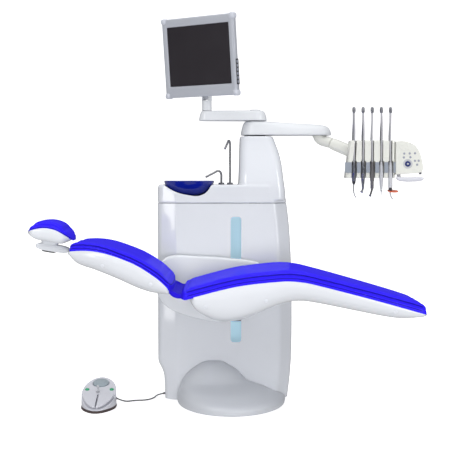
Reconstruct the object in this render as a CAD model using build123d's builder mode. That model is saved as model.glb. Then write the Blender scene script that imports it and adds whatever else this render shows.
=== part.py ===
from build123d import *
import os
from math import cos, pi, radians, sin, tan

# A free-standing dental treatment unit. X runs to the right seen from the front, Y to the back,
# Z up. The origin is on the floor, under the lift slot and half way through the column.
# All lengths are millimetres.

os.makedirs("parts", exist_ok=True)

WALL = 4.0            # moulded covers
FIT = 0.05            # radial clearance of a shaft in its bore

# Column
COLUMN_FRONT = -200.0
COLUMN_BACK = 200.0
DECK_BOTTOM = 995.0
DECK_TOP = 1087.0
TOWER_TOP = 1330.0
SLOT_WIDTH = 52.0
SLOT_LOW = 295.0
SLOT_HIGH = 925.0
COLUMN_RINGS = [(3, -359, 260), (150, -376, 279), (300, -395, 285), (640, -395, 283), (993, -395, 257)]
DECK_RINGS = [(995, -395, 257), (1042, -395, 246), (1087, -393, 236)]
TOWER_RINGS = [(1080, 15, 243, -190, 150), (1160, 17, 235, -160, 125), (1250, 19, 219, -125, 105),
               (1330, 21, 191, -92, 92)]
COLUMN_CORNER = 40.0
COLUMN_SHOULDER = -300.0
COLUMN_SLANT = 34.0

# Base
BASE_REAR = -204.0
PLATE_THICKNESS = 12.0
PLATE_LOW = (-285, BASE_REAR, 0)
PLATE_HIGH = (238, 190, PLATE_THICKNESS)
PLATE_CORNER = 92.0
PLATE_FOOT = (-24, 258, 354)
BASE_RINGS = [(2, -24, 270, 368), (28, -25, 270, 368), (42, -35, 258, 356), (52, -50, 240, 335),
              (64, -60, 224, 305), (80, -74.5, 205.5, 262), (97, -98.5, 173.5, 190), (112, -108, 158, 150),
              (158, -110.5, 114.5, 105), (190, -112.5, 65, 66), (204, -108, 30, 28)]

# Spittoon
BOWL_CENTER = (-238, -85)
BOWL_RINGS = [(1024, 100, 90, 40), (1045, 186, 166, 78), (1075, 236, 214, 98), (1105, 256, 236, 110)]
BOWL_WALL = 5.0
TAP_POSITIONS = [(-74, 0), (-29, 0)]
TAP_RADIUS = 5.0
SLEEVE_RADIUS = 8.0
COLLAR_RADIUS = 15.5
COLLAR_HEIGHT = 10.0

# Tower post and arms
POST_CENTER = (100, 0)
POST_RADIUS = 30.0
DELIVERY_LOW = 1340.0
DELIVERY_HIGH = 1396.0
DELIVERY_HUB_TOP = 1413.0
MONITOR_ARM_LOW = 1415.0
MONITOR_ARM_HIGH = 1468.0
MONITOR_POST_X = -149.0
ELBOW_CENTER = (434, 0)
ARM_END_RADIUS = 62.0

# Lift
POST_INNER = 55.0
POST_OUTER = 95.0
GUIDE_FRONT = -150.0
GUIDE_BACK = -72.0
FRAME_TOP = 950.0
SCREW_CENTER = (75, -44)
SCREW_RADIUS = 9.0
BEAM_HALF = 22.0
BEAM_LOW = 477.0
BEAM_HIGH = 560.0
CHAIR_Y = -560.0

# Chair
SEAT_FAR = -280.0
SEAT_NEAR = -840.0
SEAT_TOP = [(-222, 628), (-100, 662), (0, 686), (100, 700), (200, 709), (260, 707), (320, 697),
            (600, 622), (800, 563), (864, 538)]
SEAT_RIM = [(-222, 588), (0, 643), (200, 666), (260, 664), (320, 655), (600, 580), (866, 502)]
SEAT_BOTTOM = [(-218, 552), (-176, 503), (-94, 459), (-20, 458), (42, 472), (181, 532), (250, 550),
               (327, 550), (542, 512), (671, 484), (757, 474), (868, 488)]
SEAT_PLAN = [(-240, 280), (300, 280), (868, 190), (868, -190), (300, -280), (-240, -280)]
RECLINE_PIVOT = (-262, CHAIR_Y, 575)
PIN_RADIUS = 8.0
BACK_TOP = [(-290, 640), (-313, 668), (-363, 713), (-443, 762), (-520, 793), (-589, 813), (-650, 820),
            (-710, 814), (-768, 800)]
BACK_RIM = [(-296, 610), (-320, 642), (-363, 680), (-443, 732), (-520, 765), (-589, 786), (-650, 795),
            (-710, 795), (-766, 789)]
BACK_BOTTOM = [(-292, 591), (-381, 597), (-443, 615), (-544, 660), (-640, 698), (-724, 728), (-756, 764)]
BACK_PLAN = [(-270, 250), (-560, 250), (-772, 180), (-772, -180), (-560, -250), (-270, -250)]
HEAD_TOP = [(-966, 880), (-925, 913), (-870, 925), (-815, 912), (-773, 876), (-752, 848)]
HEAD_RIM = [(-962, 868), (-920, 886), (-866, 893), (-808, 880), (-757, 838)]
HEAD_BOTTOM = [(-956, 860), (-917, 838), (-868, 828), (-807, 817), (-763, 828)]
HEAD_HALF = 140.0
HEAD_PIVOT = (-797, CHAIR_Y, 785)
HEAD_SLOPE = 9.2

# Monitor
MONITOR_WIDTH = 440.0
MONITOR_HEIGHT = 405.0
MONITOR_DEPTH = 40.0
SCREEN_SIZE = (376, 301)
MONITOR_YAW = 33.0
MONITOR_TILT = 6.0
TILT_PIVOT = (MONITOR_POST_X, 0, 1536)

# Delivery head
ARM_TURN = -25.85
BALANCE_START = (488, -26, 1302)
BALANCE_END = (623, -91.4, 1240)
HEAD_LEFT = 545.0
HEAD_RIGHT = 792.0
HEAD_FRONT = -222.0
HEAD_REAR = -128.0
HEAD_LOW = 1120.0
HEAD_HIGH = 1308.0
NOTCH_TOP = 1204.0
NOTCH_BACK = -168.0
HOLDER_X = [587 + 45.5 * place for place in range(5)]
WHIP_PIVOT_Y = -178.0
WHIP_PIVOT_Z = 1130.0
TOOL_Y = -212.0
TOOL_TAIL = 1200.0
HOSE_RADIUS = 4.5

# Foot control
FOOT_CENTER = (-672, -350)
FOOT_HALF = (86, 150)
FOOT_SLOPE = 17.0
FOOT_MIDDLE = 74.0
FOOT_BASE = 12.0
CABLE_RADIUS = 3.5
CABLE_ROUTE = [(-590, -262, 22), (-564, -256, 10), (-543, -239, 3.6), (-520, -224, 3.6), (-494, -214, 3.6),
               (-466, -211, 3.6), (-441, -197, 3.6), (-425, -171, 3.6), (-414, -142, 3.6), (-408, -120, 6.5),
               (-395, -106, 11), (-374, -101, 14.5)]


def save(part, name):
    """Label one finished piece and write it out."""
    part.label = name
    export_step(part, f"parts/{name}.step")


def block(low, high, mode=Mode.ADD):
    """A box between two opposite corners."""
    size = [top - bottom for bottom, top in zip(low, high)]
    middle = tuple((top + bottom) / 2 for bottom, top in zip(low, high))
    with Locations(middle):
        Box(*size, mode=mode)


def column(center, low, high, radius, mode=Mode.ADD):
    """A vertical cylinder between two heights."""
    with Locations((center[0], center[1], (low + high) / 2)):
        Cylinder(radius, high - low, mode=mode)


def shaft(start, end, radius, end_radius=None, mode=Mode.ADD):
    """A round bar, or a taper, from one point to another."""
    run = Vector(*end) - Vector(*start)
    with BuildSketch(Plane(origin=start, z_dir=run)) as foot:
        Circle(radius)
    if end_radius is None:
        extrude(foot.sketch, amount=run.length, mode=mode)
        return
    with BuildSketch(Plane(origin=end, z_dir=run)) as tip:
        Circle(end_radius)
    loft([foot.sketch, tip.sketch], mode=mode)


def side_slab(upper_points, lower_points, far, near, mode=Mode.ADD):
    """A solid between two curves of the side view, from y = far to y = near."""
    with BuildSketch(Plane.XZ.offset(-far)) as side:
        with BuildLine():
            upper = Spline(*upper_points)
            lower = Spline(*lower_points)
            Line(upper @ 0, lower @ 0)
            Line(upper @ 1, lower @ 1)
        make_face()
    extrude(side.sketch, amount=far - near, mode=mode)


def plan_prism(points, inset, low, high, corner, mode=Mode.INTERSECT):
    """An upright prism over a chair outline given about the chair's middle line."""
    inward = [(x + (inset if x < -700 else -inset if x > 800 else 0), CHAIR_Y + y - inset * (1 if y > 0 else -1))
              for x, y in points]
    with BuildSketch(Plane.XY.offset(low)) as plan:
        with BuildLine():
            Polyline(*inward, close=True)
        make_face()
        fillet(plan.vertices(), corner)
    extrude(plan.sketch, amount=high - low, mode=mode)


def raised(points, height):
    """The same curve of a side view, moved up."""
    return [(x, z + height) for x, z in points]


def column_ring(height, left, right, inset=0.0):
    """The column's outline at one height: square at the back, its front left corner cut away."""
    front, back = COLUMN_FRONT + inset, COLUMN_BACK - inset
    left, right = left + inset, right - inset
    with BuildSketch(Plane.XY.offset(height)) as ring:
        with BuildLine():
            Polyline((COLUMN_SHOULDER + inset, front), (right - 65, front), (right, front + 75),
                     (right, back), (left, back), (left, front + COLUMN_SLANT), close=True)
        make_face()
        fillet(ring.vertices(), COLUMN_CORNER - inset)
    return ring.sketch


def rounded_ring(height, left, right, front, back, corner):
    """A rounded rectangle at one height."""
    with BuildSketch(Plane.XY.offset(height)) as ring:
        with Locations(((left + right) / 2, (front + back) / 2)):
            RectangleRounded(right - left, back - front, corner)
    return ring.sketch


def base_rings(inset):
    """The base cover's outlines: ellipses about its rear edge, shrinking up the hill."""
    rings = []
    for z, middle, half_width, half_depth in BASE_RINGS:
        with BuildSketch(Plane.XY.offset(z - inset)) as ring:
            with Locations((middle, BASE_REAR)):
                Ellipse(half_width - inset, half_depth - inset)
        rings.append(ring.sketch)
    return rings


def bowl_rings(grow, lift=0.0):
    """The bowl's outlines, grown on every side and lifted."""
    x, y = BOWL_CENTER
    return [rounded_ring(z + lift, x - w / 2 - grow, x + w / 2 + grow, y - d / 2 - grow, y + d / 2 + grow, r + grow)
            for z, w, d, r in BOWL_RINGS]


# ---------------------------------------------------------------- base and column

with BuildPart() as base_plate:
    block(PLATE_LOW, PLATE_HIGH)
    fillet(base_plate.edges().filter_by(Axis.Z).group_by(Axis.Y)[-1], PLATE_CORNER)
    with BuildSketch(Plane.XY) as foot_outline:
        with Locations((PLATE_FOOT[0], BASE_REAR)):
            Ellipse(PLATE_FOOT[1], PLATE_FOOT[2])
    extrude(foot_outline.sketch, amount=PLATE_THICKNESS)
save(base_plate.part, "base_plate")

with BuildPart() as base_hollow:
    loft(base_rings(WALL))

with BuildPart() as base_cover:
    loft(base_rings(0.0))
    block((-400, BASE_REAR, -10), (400, BASE_REAR + 400, 300), mode=Mode.SUBTRACT)
    add(base_hollow.part, mode=Mode.SUBTRACT)
save(base_cover.part, "base_cover")

with BuildPart() as column_hollow:
    loft([column_ring(z, left, right, WALL) for z, left, right in COLUMN_RINGS])
    block((-285, COLUMN_BACK - 30, 150), (180, COLUMN_BACK + 10, 900))

with BuildPart() as column_cover:
    loft([column_ring(z, left, right) for z, left, right in COLUMN_RINGS])
    add(column_hollow.part, mode=Mode.SUBTRACT)
    block((PLATE_LOW[0] - 5, -260, -5), (PLATE_HIGH[0] + 5, -100, PLATE_THICKNESS + 2), mode=Mode.SUBTRACT)
    with BuildSketch(Plane.XZ.offset(-COLUMN_FRONT - 30)) as slot:
        with Locations((0, (SLOT_LOW + SLOT_HIGH) / 2)):
            RectangleRounded(SLOT_WIDTH, SLOT_HIGH - SLOT_LOW, 16)
    extrude(slot.sketch, amount=60, mode=Mode.SUBTRACT)
save(column_cover.part, "column_cover")

with BuildPart() as rear_panel:
    block((-284, COLUMN_BACK - 3, 151), (179, COLUMN_BACK + 1, 899))
    fillet(rear_panel.edges().filter_by(Axis.Y), 12)
    with Locations(Plane.XZ.offset(-COLUMN_BACK - 1)):
        for height in (760, 790, 820, 850):
            with Locations((-52, height)):
                Box(260, 8, 12, mode=Mode.SUBTRACT)
save(rear_panel.part, "rear_panel")

with BuildPart() as column_frame:
    for side in (-1, 1):
        edges = sorted((side * POST_INNER, side * POST_OUTER))
        block((edges[0], GUIDE_FRONT, PLATE_THICKNESS), (edges[1], GUIDE_BACK, FRAME_TOP))
    block((-110, 40, PLATE_THICKNESS), (110, 80, FRAME_TOP))
    block((-110, GUIDE_FRONT, FRAME_TOP), (170, 80, FRAME_TOP + 16))
save(column_frame.part, "column_frame")

with BuildPart() as lift_motor:
    column(SCREW_CENTER, PLATE_THICKNESS, 150, 23)
    column(SCREW_CENTER, 150, 160, 16)
save(lift_motor.part, "lift_motor")

with BuildPart() as lift_screw:
    column(SCREW_CENTER, 160, FRAME_TOP - 10, SCREW_RADIUS)
save(lift_screw.part, "lift_screw")

with BuildPart() as slot_liner:
    block((-48, -14, SLOT_LOW - 60), (48, -10, SLOT_HIGH + 15))
save(slot_liner.part, "slot_liner")

with BuildPart() as deck_hollow:
    loft([column_ring(z - (WALL if z > DECK_BOTTOM else 1), left, right, WALL) for z, left, right in DECK_RINGS])
    loft([rounded_ring(z - WALL, left + WALL, right - WALL, front + WALL, back - WALL, 46)
          for z, left, right, front, back in TOWER_RINGS])

with BuildPart() as bowl_space:
    loft(bowl_rings(4.0, -2.0))

with BuildPart() as upper_cover:
    loft([column_ring(z, left, right) for z, left, right in DECK_RINGS])
    loft([rounded_ring(z, left, right, front, back, 50) for z, left, right, front, back in TOWER_RINGS])
    add(deck_hollow.part, mode=Mode.SUBTRACT)
    add(bowl_space.part, mode=Mode.SUBTRACT)
    with BuildSketch(Plane.XZ.offset(-COLUMN_FRONT - 60)) as scoop:
        with BuildLine():
            rim = ThreePointArc((-364, DECK_TOP + 5), (-222, DECK_TOP - 58), (-110, DECK_TOP + 5))
            Line(rim @ 1, rim @ 0)
        make_face()
    extrude(scoop.sketch, amount=80, mode=Mode.SUBTRACT)
    column(POST_CENTER, TOWER_TOP - 10, TOWER_TOP + 10, POST_RADIUS + 2, mode=Mode.SUBTRACT)
    for tap in TAP_POSITIONS:
        column(tap, DECK_TOP - 20, DECK_TOP + 5, SLEEVE_RADIUS + 1, mode=Mode.SUBTRACT)
save(upper_cover.part, "upper_cover")

with BuildPart() as tower_post:
    column(POST_CENTER, FRAME_TOP + 16, MONITOR_ARM_HIGH - 2, POST_RADIUS)
    column(POST_CENTER, FRAME_TOP + 16, FRAME_TOP + 28, 46)
    column(POST_CENTER, TOWER_TOP + 1, DELIVERY_LOW - 1, 54)
save(tower_post.part, "tower_post")

# ---------------------------------------------------------------- spittoon and taps

with BuildPart() as bowl_inside:
    loft(bowl_rings(-BOWL_WALL, BOWL_WALL + 1))

with BuildPart() as spittoon_bowl:
    loft(bowl_rings(0.0))
    add(bowl_inside.part, mode=Mode.SUBTRACT)
save(spittoon_bowl.part, "spittoon_bowl")

with BuildPart() as bowl_strainer:
    column(BOWL_CENTER, BOWL_RINGS[0][0] + BOWL_WALL + 1, BOWL_RINGS[0][0] + BOWL_WALL + 4, 24)
    with Locations((*BOWL_CENTER, BOWL_RINGS[0][0] + BOWL_WALL)):
        with PolarLocations(15, 8):
            Cylinder(2.5, 20, mode=Mode.SUBTRACT)
save(bowl_strainer.part, "bowl_strainer")

with BuildPart() as tap_collars:
    for tap in TAP_POSITIONS:
        column(tap, DECK_TOP, DECK_TOP + COLLAR_HEIGHT, COLLAR_RADIUS)
        column(tap, DECK_TOP - 5, DECK_TOP + COLLAR_HEIGHT + 5, SLEEVE_RADIUS + FIT, mode=Mode.SUBTRACT)
save(tap_collars.part, "tap_collars")


def swan_neck(base, top, reach, drop, bend):
    """A swivelling tap tube: up from its sleeve, over in a bend and down over the outlet."""
    foot = (base[0], base[1], DECK_TOP + COLLAR_HEIGHT)
    shoulder = (base[0] + reach[0] * 0.35, base[1] + reach[1] * 0.35, top)
    spout = (base[0] + reach[0], base[1] + reach[1], top - drop)
    with BuildLine() as neck:
        FilletPolyline(foot, (*base, top), shoulder, spout, radius=bend)
    with BuildSketch(Plane(origin=foot, z_dir=(0, 0, 1))) as bore:
        Circle(TAP_RADIUS)
    sweep(bore.sketch, path=neck.line)
    column(base, DECK_TOP + 1, DECK_TOP + COLLAR_HEIGHT + 6, SLEEVE_RADIUS)


with BuildPart() as bowl_rinse:
    swan_neck(TAP_POSITIONS[0], 1157, (-80, -20), 31, 12)
save(bowl_rinse.part, "bowl_rinse")

with BuildPart() as cup_filler:
    swan_neck(TAP_POSITIONS[1], 1313, (-26, -75), 43, 12)
save(cup_filler.part, "cup_filler")

# ---------------------------------------------------------------- lift carriage and seat

with BuildPart() as lift_carriage:
    block((-POST_INNER + 3, -160, 395), (POST_INNER - 3, -70, 635))
    block((-30, -74, 480), (98, -20, 560))
    block((POST_INNER - 3, -80, 470), (POST_OUTER + 5, GUIDE_BACK + 2, 570), mode=Mode.SUBTRACT)
    block((-BEAM_HALF, CHAIR_Y - 60, BEAM_LOW), (BEAM_HALF, -150, BEAM_HIGH))
    column(SCREW_CENTER, 470, 570, SCREW_RADIUS + FIT, mode=Mode.SUBTRACT)
save(lift_carriage.part, "lift_carriage")

SIDE_FAR = -212.0
SIDE_NEAR = -274.0

with BuildPart() as side_hollow:
    block((-384, SIDE_NEAR + WALL, 520), (124, SIDE_FAR - WALL, 690))
    block((-180, SIDE_NEAR + WALL, 440), (100, SIDE_FAR - WALL, 530))

with BuildPart() as side_shell:
    with BuildSketch(Plane.XZ.offset(-SIDE_FAR)) as side:
        with BuildLine():
            top = Spline((-390, 640), (-372, 706), (-318, 736), (-200, 734), (-25, 723), (110, 704), (128, 680))
            low = Spline((-390, 540), (-360, 494), (-284, 450), (-156, 414), (-60, 405), (60, 440), (128, 520))
            Line(top @ 0, low @ 0)
            Line(top @ 1, low @ 1)
        make_face()
    extrude(side.sketch, amount=SIDE_FAR - SIDE_NEAR)
    add(side_hollow.part, mode=Mode.SUBTRACT)
    block((-BEAM_HALF, -300, BEAM_LOW), (BEAM_HALF, -200, BEAM_HIGH), mode=Mode.SUBTRACT)
save(side_shell.part, "side_shell")

with BuildPart() as seat_hollow:
    side_slab(raised(SEAT_RIM, 30), raised(SEAT_BOTTOM, 7), SEAT_FAR, SEAT_NEAR)
    plan_prism(SEAT_PLAN, 6, 400, 800, 30)
    block((-260, -900, 400), (-212, -200, 800), mode=Mode.SUBTRACT)

with BuildPart() as seat_shell:
    side_slab(SEAT_RIM, SEAT_BOTTOM, SEAT_FAR, SEAT_NEAR)
    plan_prism(SEAT_PLAN, 0, 400, 800, 36)
    add(seat_hollow.part, mode=Mode.SUBTRACT)
    block((-BEAM_HALF, -400, BEAM_LOW), (BEAM_HALF, -200, BEAM_HIGH), mode=Mode.SUBTRACT)
    for ear in (CHAIR_Y - 160, CHAIR_Y + 160):
        block((-240, ear - 18, 545), (-200, ear + 18, 600), mode=Mode.SUBTRACT)
save(seat_shell.part, "seat_shell")

with BuildPart() as seat_cushion:
    side_slab(SEAT_TOP, SEAT_RIM, SEAT_FAR, SEAT_NEAR)
    plan_prism(SEAT_PLAN, 0, 400, 800, 36)
save(seat_cushion.part, "seat_cushion")

with BuildPart() as seat_frame:
    block((-205, CHAIR_Y - 175, BEAM_HIGH), (160, CHAIR_Y + 175, BEAM_HIGH + 8))
    for ear in (CHAIR_Y - 160, CHAIR_Y + 160):
        block((RECLINE_PIVOT[0], ear - 14, BEAM_HIGH + 1), (-190, ear + 14, 585))
        shaft((RECLINE_PIVOT[0], ear - 14, RECLINE_PIVOT[2]), (RECLINE_PIVOT[0], ear + 14, RECLINE_PIVOT[2]), 14)
    shaft((RECLINE_PIVOT[0], -800, RECLINE_PIVOT[2]), (RECLINE_PIVOT[0], -300, RECLINE_PIVOT[2]), PIN_RADIUS,
          mode=Mode.SUBTRACT)
save(seat_frame.part, "seat_frame")

with BuildPart() as recline_pin:
    shaft((RECLINE_PIVOT[0], CHAIR_Y - 176, RECLINE_PIVOT[2]), (RECLINE_PIVOT[0], CHAIR_Y + 176, RECLINE_PIVOT[2]),
          PIN_RADIUS)
save(recline_pin.part, "recline_pin")

# ---------------------------------------------------------------- back

with BuildPart() as back_frame:
    with BuildSketch(Plane.XZ.offset(-CHAIR_Y - 143)) as plate:
        with BuildLine():
            Polyline((-262, 569), (-300, 594), (-400, 640), (-520, 690), (-640, 732), (-640, 744), (-520, 702),
                     (-400, 652), (-300, 606), (-262, 581), close=True)
        make_face()
    extrude(plate.sketch, amount=286)
    block((-380, CHAIR_Y - 100, 500), (-240, CHAIR_Y + 100, 700), mode=Mode.SUBTRACT)
    for knuckle in (CHAIR_Y - 143, CHAIR_Y + 100):
        shaft((RECLINE_PIVOT[0], knuckle, RECLINE_PIVOT[2]), (RECLINE_PIVOT[0], knuckle + 43, RECLINE_PIVOT[2]), 14)
    shaft((RECLINE_PIVOT[0], -800, RECLINE_PIVOT[2]), (RECLINE_PIVOT[0], -300, RECLINE_PIVOT[2]),
          PIN_RADIUS + FIT, mode=Mode.SUBTRACT)
save(back_frame.part, "back_frame")


def along_bar(distance, lift=0.0):
    """A point on the headrest bar's middle line, measured from the headrest pivot to the right."""
    return (HEAD_PIVOT[0] + distance * cos(radians(HEAD_SLOPE)) + lift * sin(radians(HEAD_SLOPE)), CHAIR_Y,
            HEAD_PIVOT[2] - distance * sin(radians(HEAD_SLOPE)) + lift * cos(radians(HEAD_SLOPE)))


def bar_solid(start, end, width, height, mode=Mode.ADD):
    """A flat bar along the headrest's sliding direction."""
    with BuildSketch(Plane(origin=along_bar(start), x_dir=(0, 1, 0), z_dir=Vector(*along_bar(1)) -
                           Vector(*along_bar(0)))) as flat:
        RectangleRounded(width, height, height / 2 - 0.5)
    extrude(flat.sketch, amount=end - start, mode=mode)


with BuildPart() as back_hollow:
    side_slab(raised(BACK_RIM, 30), raised(BACK_BOTTOM, 7), CHAIR_Y + 250, CHAIR_Y - 250)
    plan_prism(BACK_PLAN, 6, 500, 900, 30)

with BuildPart() as back_shell:
    side_slab(BACK_RIM, BACK_BOTTOM, CHAIR_Y + 250, CHAIR_Y - 250)
    plan_prism(BACK_PLAN, 0, 500, 900, 36)
    add(back_hollow.part, mode=Mode.SUBTRACT)
    block((-330, CHAIR_Y - 150, 560), (-270, CHAIR_Y + 150, 640), mode=Mode.SUBTRACT)
    bar_solid(10, 200, 34, 14, mode=Mode.SUBTRACT)
save(back_shell.part, "back_shell")

with BuildPart() as back_cushion:
    side_slab(BACK_TOP, BACK_RIM, CHAIR_Y + 250, CHAIR_Y - 250)
    plan_prism(BACK_PLAN, 0, 500, 900, 36)
save(back_cushion.part, "back_cushion")

# ---------------------------------------------------------------- headrest

with BuildPart() as headrest_bar:
    bar_solid(0, 200, 30, 10)
    shaft((HEAD_PIVOT[0], CHAIR_Y - 15, HEAD_PIVOT[2]), (HEAD_PIVOT[0], CHAIR_Y + 15, HEAD_PIVOT[2]), 12)
    shaft((HEAD_PIVOT[0], CHAIR_Y - 28, HEAD_PIVOT[2]), (HEAD_PIVOT[0], CHAIR_Y + 28, HEAD_PIVOT[2]), 5)
save(headrest_bar.part, "headrest_bar")

with BuildPart() as headrest_hollow:
    side_slab(raised(HEAD_RIM, 20), raised(HEAD_BOTTOM, 5), CHAIR_Y + HEAD_HALF - 5, CHAIR_Y - HEAD_HALF + 5)

with BuildPart() as headrest_shell:
    side_slab(HEAD_RIM, HEAD_BOTTOM, CHAIR_Y + HEAD_HALF, CHAIR_Y - HEAD_HALF)
    add(headrest_hollow.part, mode=Mode.SUBTRACT)
    with BuildSketch(Plane(origin=along_bar(-60), x_dir=Vector(*along_bar(1)) - Vector(*along_bar(0)),
                           z_dir=(0, -1, 0))) as lozenge:
        SlotCenterToCenter(120, 34)
    extrude(lozenge.sketch, amount=29, both=True)
    block((-905, CHAIR_Y - 29, 800), (-835, CHAIR_Y + 29, 830))
    block((HEAD_PIVOT[0] - 22, CHAIR_Y - 16, 740), (HEAD_PIVOT[0] + 30, CHAIR_Y + 16, 812), mode=Mode.SUBTRACT)
    shaft((HEAD_PIVOT[0], CHAIR_Y - 40, HEAD_PIVOT[2]), (HEAD_PIVOT[0], CHAIR_Y + 40, HEAD_PIVOT[2]), 5 + FIT,
          mode=Mode.SUBTRACT)
save(headrest_shell.part, "headrest_shell")

with BuildPart() as headrest_cushion:
    side_slab(HEAD_TOP, HEAD_RIM, CHAIR_Y + HEAD_HALF, CHAIR_Y - HEAD_HALF)
save(headrest_cushion.part, "headrest_cushion")

LEVER_PIVOT = along_bar(-50, -26)

with BuildPart() as headrest_lever:
    shaft((LEVER_PIVOT[0], CHAIR_Y - 20, LEVER_PIVOT[2]), (LEVER_PIVOT[0], CHAIR_Y + 20, LEVER_PIVOT[2]), 6)
    with BuildSketch(Plane(origin=along_bar(-76, -28), x_dir=Vector(*along_bar(1)) - Vector(*along_bar(0)),
                           z_dir=(0, -1, 0))) as blade:
        SlotCenterToCenter(56, 8)
    extrude(blade.sketch, amount=15, both=True)
save(headrest_lever.part, "headrest_lever")

# ---------------------------------------------------------------- monitor

YAW, TILT = radians(MONITOR_YAW), radians(MONITOR_TILT)
PANEL_RIGHT = Vector(cos(YAW), -sin(YAW), 0)
PANEL_FRONT = Vector(-sin(YAW) * cos(TILT), -cos(YAW) * cos(TILT), -sin(TILT))
PANEL_UP = PANEL_FRONT.cross(PANEL_RIGHT)
PANEL_CENTER = Vector(*TILT_PIVOT) + PANEL_FRONT * 34 + PANEL_UP * 209


def panel_plane(forward):
    """The plane parallel to the screen, a distance in front of the panel's middle."""
    return Plane(origin=PANEL_CENTER + PANEL_FRONT * forward, x_dir=PANEL_RIGHT, z_dir=PANEL_FRONT)


def arm_outline(height, hub_radius, end_radius):
    """The monitor arm's outline at one height."""
    with BuildSketch(Plane.XY.offset(height)) as outline:
        with BuildLine():
            Polyline((100, hub_radius), (MONITOR_POST_X, end_radius), (MONITOR_POST_X, -end_radius),
                     (100, -hub_radius), close=True)
        make_face()
        with Locations(POST_CENTER):
            Circle(hub_radius)
        with Locations((MONITOR_POST_X, 0)):
            Circle(end_radius)
    return outline.sketch


with BuildPart() as monitor_arm:
    loft([arm_outline(MONITOR_ARM_LOW, 61, 42), arm_outline(MONITOR_ARM_HIGH, 50, 32)])
    column(POST_CENTER, MONITOR_ARM_LOW - 5, MONITOR_ARM_HIGH - 1, POST_RADIUS + FIT, mode=Mode.SUBTRACT)
    column(POST_CENTER, MONITOR_ARM_HIGH, MONITOR_ARM_HIGH + 6, 28)
    column((MONITOR_POST_X, 0), MONITOR_ARM_LOW + 8, MONITOR_ARM_HIGH + 5, 14 + FIT, mode=Mode.SUBTRACT)
save(monitor_arm.part, "monitor_arm")

with BuildPart() as monitor_post:
    column((MONITOR_POST_X, 0), MONITOR_ARM_LOW + 9, MONITOR_ARM_HIGH + 4, 14)
    column((MONITOR_POST_X, 0), MONITOR_ARM_HIGH + 1, TILT_PIVOT[2] - 16, 25)
    with BuildSketch(Plane(origin=TILT_PIVOT, x_dir=PANEL_RIGHT, z_dir=(0, 0, 1)).offset(-16)) as ears:
        with Locations((-19, 0), (19, 0)):
            Rectangle(10, 24)
    extrude(ears.sketch, amount=24)
    tilt_pin = PANEL_RIGHT * 26
    shaft(tuple(Vector(*TILT_PIVOT) - tilt_pin), tuple(Vector(*TILT_PIVOT) + tilt_pin), 5)
save(monitor_post.part, "monitor_post")

with BuildPart() as monitor_housing:
    with BuildSketch(panel_plane(-MONITOR_DEPTH / 2)) as face:
        RectangleRounded(MONITOR_WIDTH, MONITOR_HEIGHT, 24)
    extrude(face.sketch, amount=MONITOR_DEPTH)
    chamfer(monitor_housing.faces().sort_by(Axis(PANEL_CENTER, PANEL_FRONT))[0].edges(), 10)
    with BuildSketch(panel_plane(MONITOR_DEPTH / 2 - 30)) as pocket:
        with Locations((0, 8)):
            Rectangle(SCREEN_SIZE[0] + 1, SCREEN_SIZE[1] + 1)
    extrude(pocket.sketch, amount=40, mode=Mode.SUBTRACT)
    with BuildSketch(panel_plane(-MONITOR_DEPTH / 2 - 26)) as bracket:
        with Locations((0, -160)):
            Rectangle(60, 50)
    extrude(bracket.sketch, amount=26)
    with BuildSketch(panel_plane(-MONITOR_DEPTH / 2 - 26)) as lug:
        with Locations((0, -198)):
            Rectangle(26, 40)
    extrude(lug.sketch, amount=22)
    shaft(tuple(Vector(*TILT_PIVOT) - PANEL_RIGHT * 30), tuple(Vector(*TILT_PIVOT) + PANEL_RIGHT * 30), 5 + FIT,
          mode=Mode.SUBTRACT)
save(monitor_housing.part, "monitor_housing")

with BuildPart() as monitor_screen:
    with BuildSketch(panel_plane(MONITOR_DEPTH / 2 - 30)) as glass:
        with Locations((0, 8)):
            Rectangle(*SCREEN_SIZE)
    extrude(glass.sketch, amount=28)
save(monitor_screen.part, "monitor_screen")

# ---------------------------------------------------------------- delivery arm

ALONG = Vector(cos(radians(ARM_TURN)), sin(radians(ARM_TURN)), 0)
ACROSS = Vector(-ALONG.Y, ALONG.X, 0)

with BuildPart() as delivery_arm:
    with BuildSketch(Plane.XY.offset(DELIVERY_LOW)) as hub_foot:
        with Locations(POST_CENTER):
            Circle(76)
    with BuildSketch(Plane.XY.offset(DELIVERY_HUB_TOP)) as hub_top:
        with Locations(POST_CENTER):
            Circle(54)
    with BuildSketch(Plane.XY.offset(DELIVERY_LOW)) as arm_plan:
        with BuildLine():
            Polyline((100, 66), (ELBOW_CENTER[0], ARM_END_RADIUS), (ELBOW_CENTER[0], -ARM_END_RADIUS), (100, -66),
                     close=True)
        make_face()
        with Locations(ELBOW_CENTER):
            Circle(ARM_END_RADIUS)
    extrude(arm_plan.sketch, amount=DELIVERY_HIGH - DELIVERY_LOW)
    fillet(delivery_arm.edges().group_by(Axis.Z)[-1], 20)
    loft([hub_foot.sketch, hub_top.sketch])
    column(POST_CENTER, DELIVERY_LOW - 5, DELIVERY_HUB_TOP + 5, POST_RADIUS + FIT, mode=Mode.SUBTRACT)
    column(ELBOW_CENTER, DELIVERY_LOW - 5, DELIVERY_LOW + 40, 14 + FIT, mode=Mode.SUBTRACT)
save(delivery_arm.part, "delivery_arm")


def cheeks(center, inner, outer, start, end, low, high):
    """Two upright cheeks either side of the balance arm's plane."""
    with BuildSketch(Plane(origin=(center[0], center[1], low), x_dir=ALONG, z_dir=(0, 0, 1))) as pair:
        with Locations(((start + end) / 2, (inner + outer) / 2), ((start + end) / 2, -(inner + outer) / 2)):
            Rectangle(end - start, outer - inner)
    extrude(pair.sketch, amount=high - low)


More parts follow.
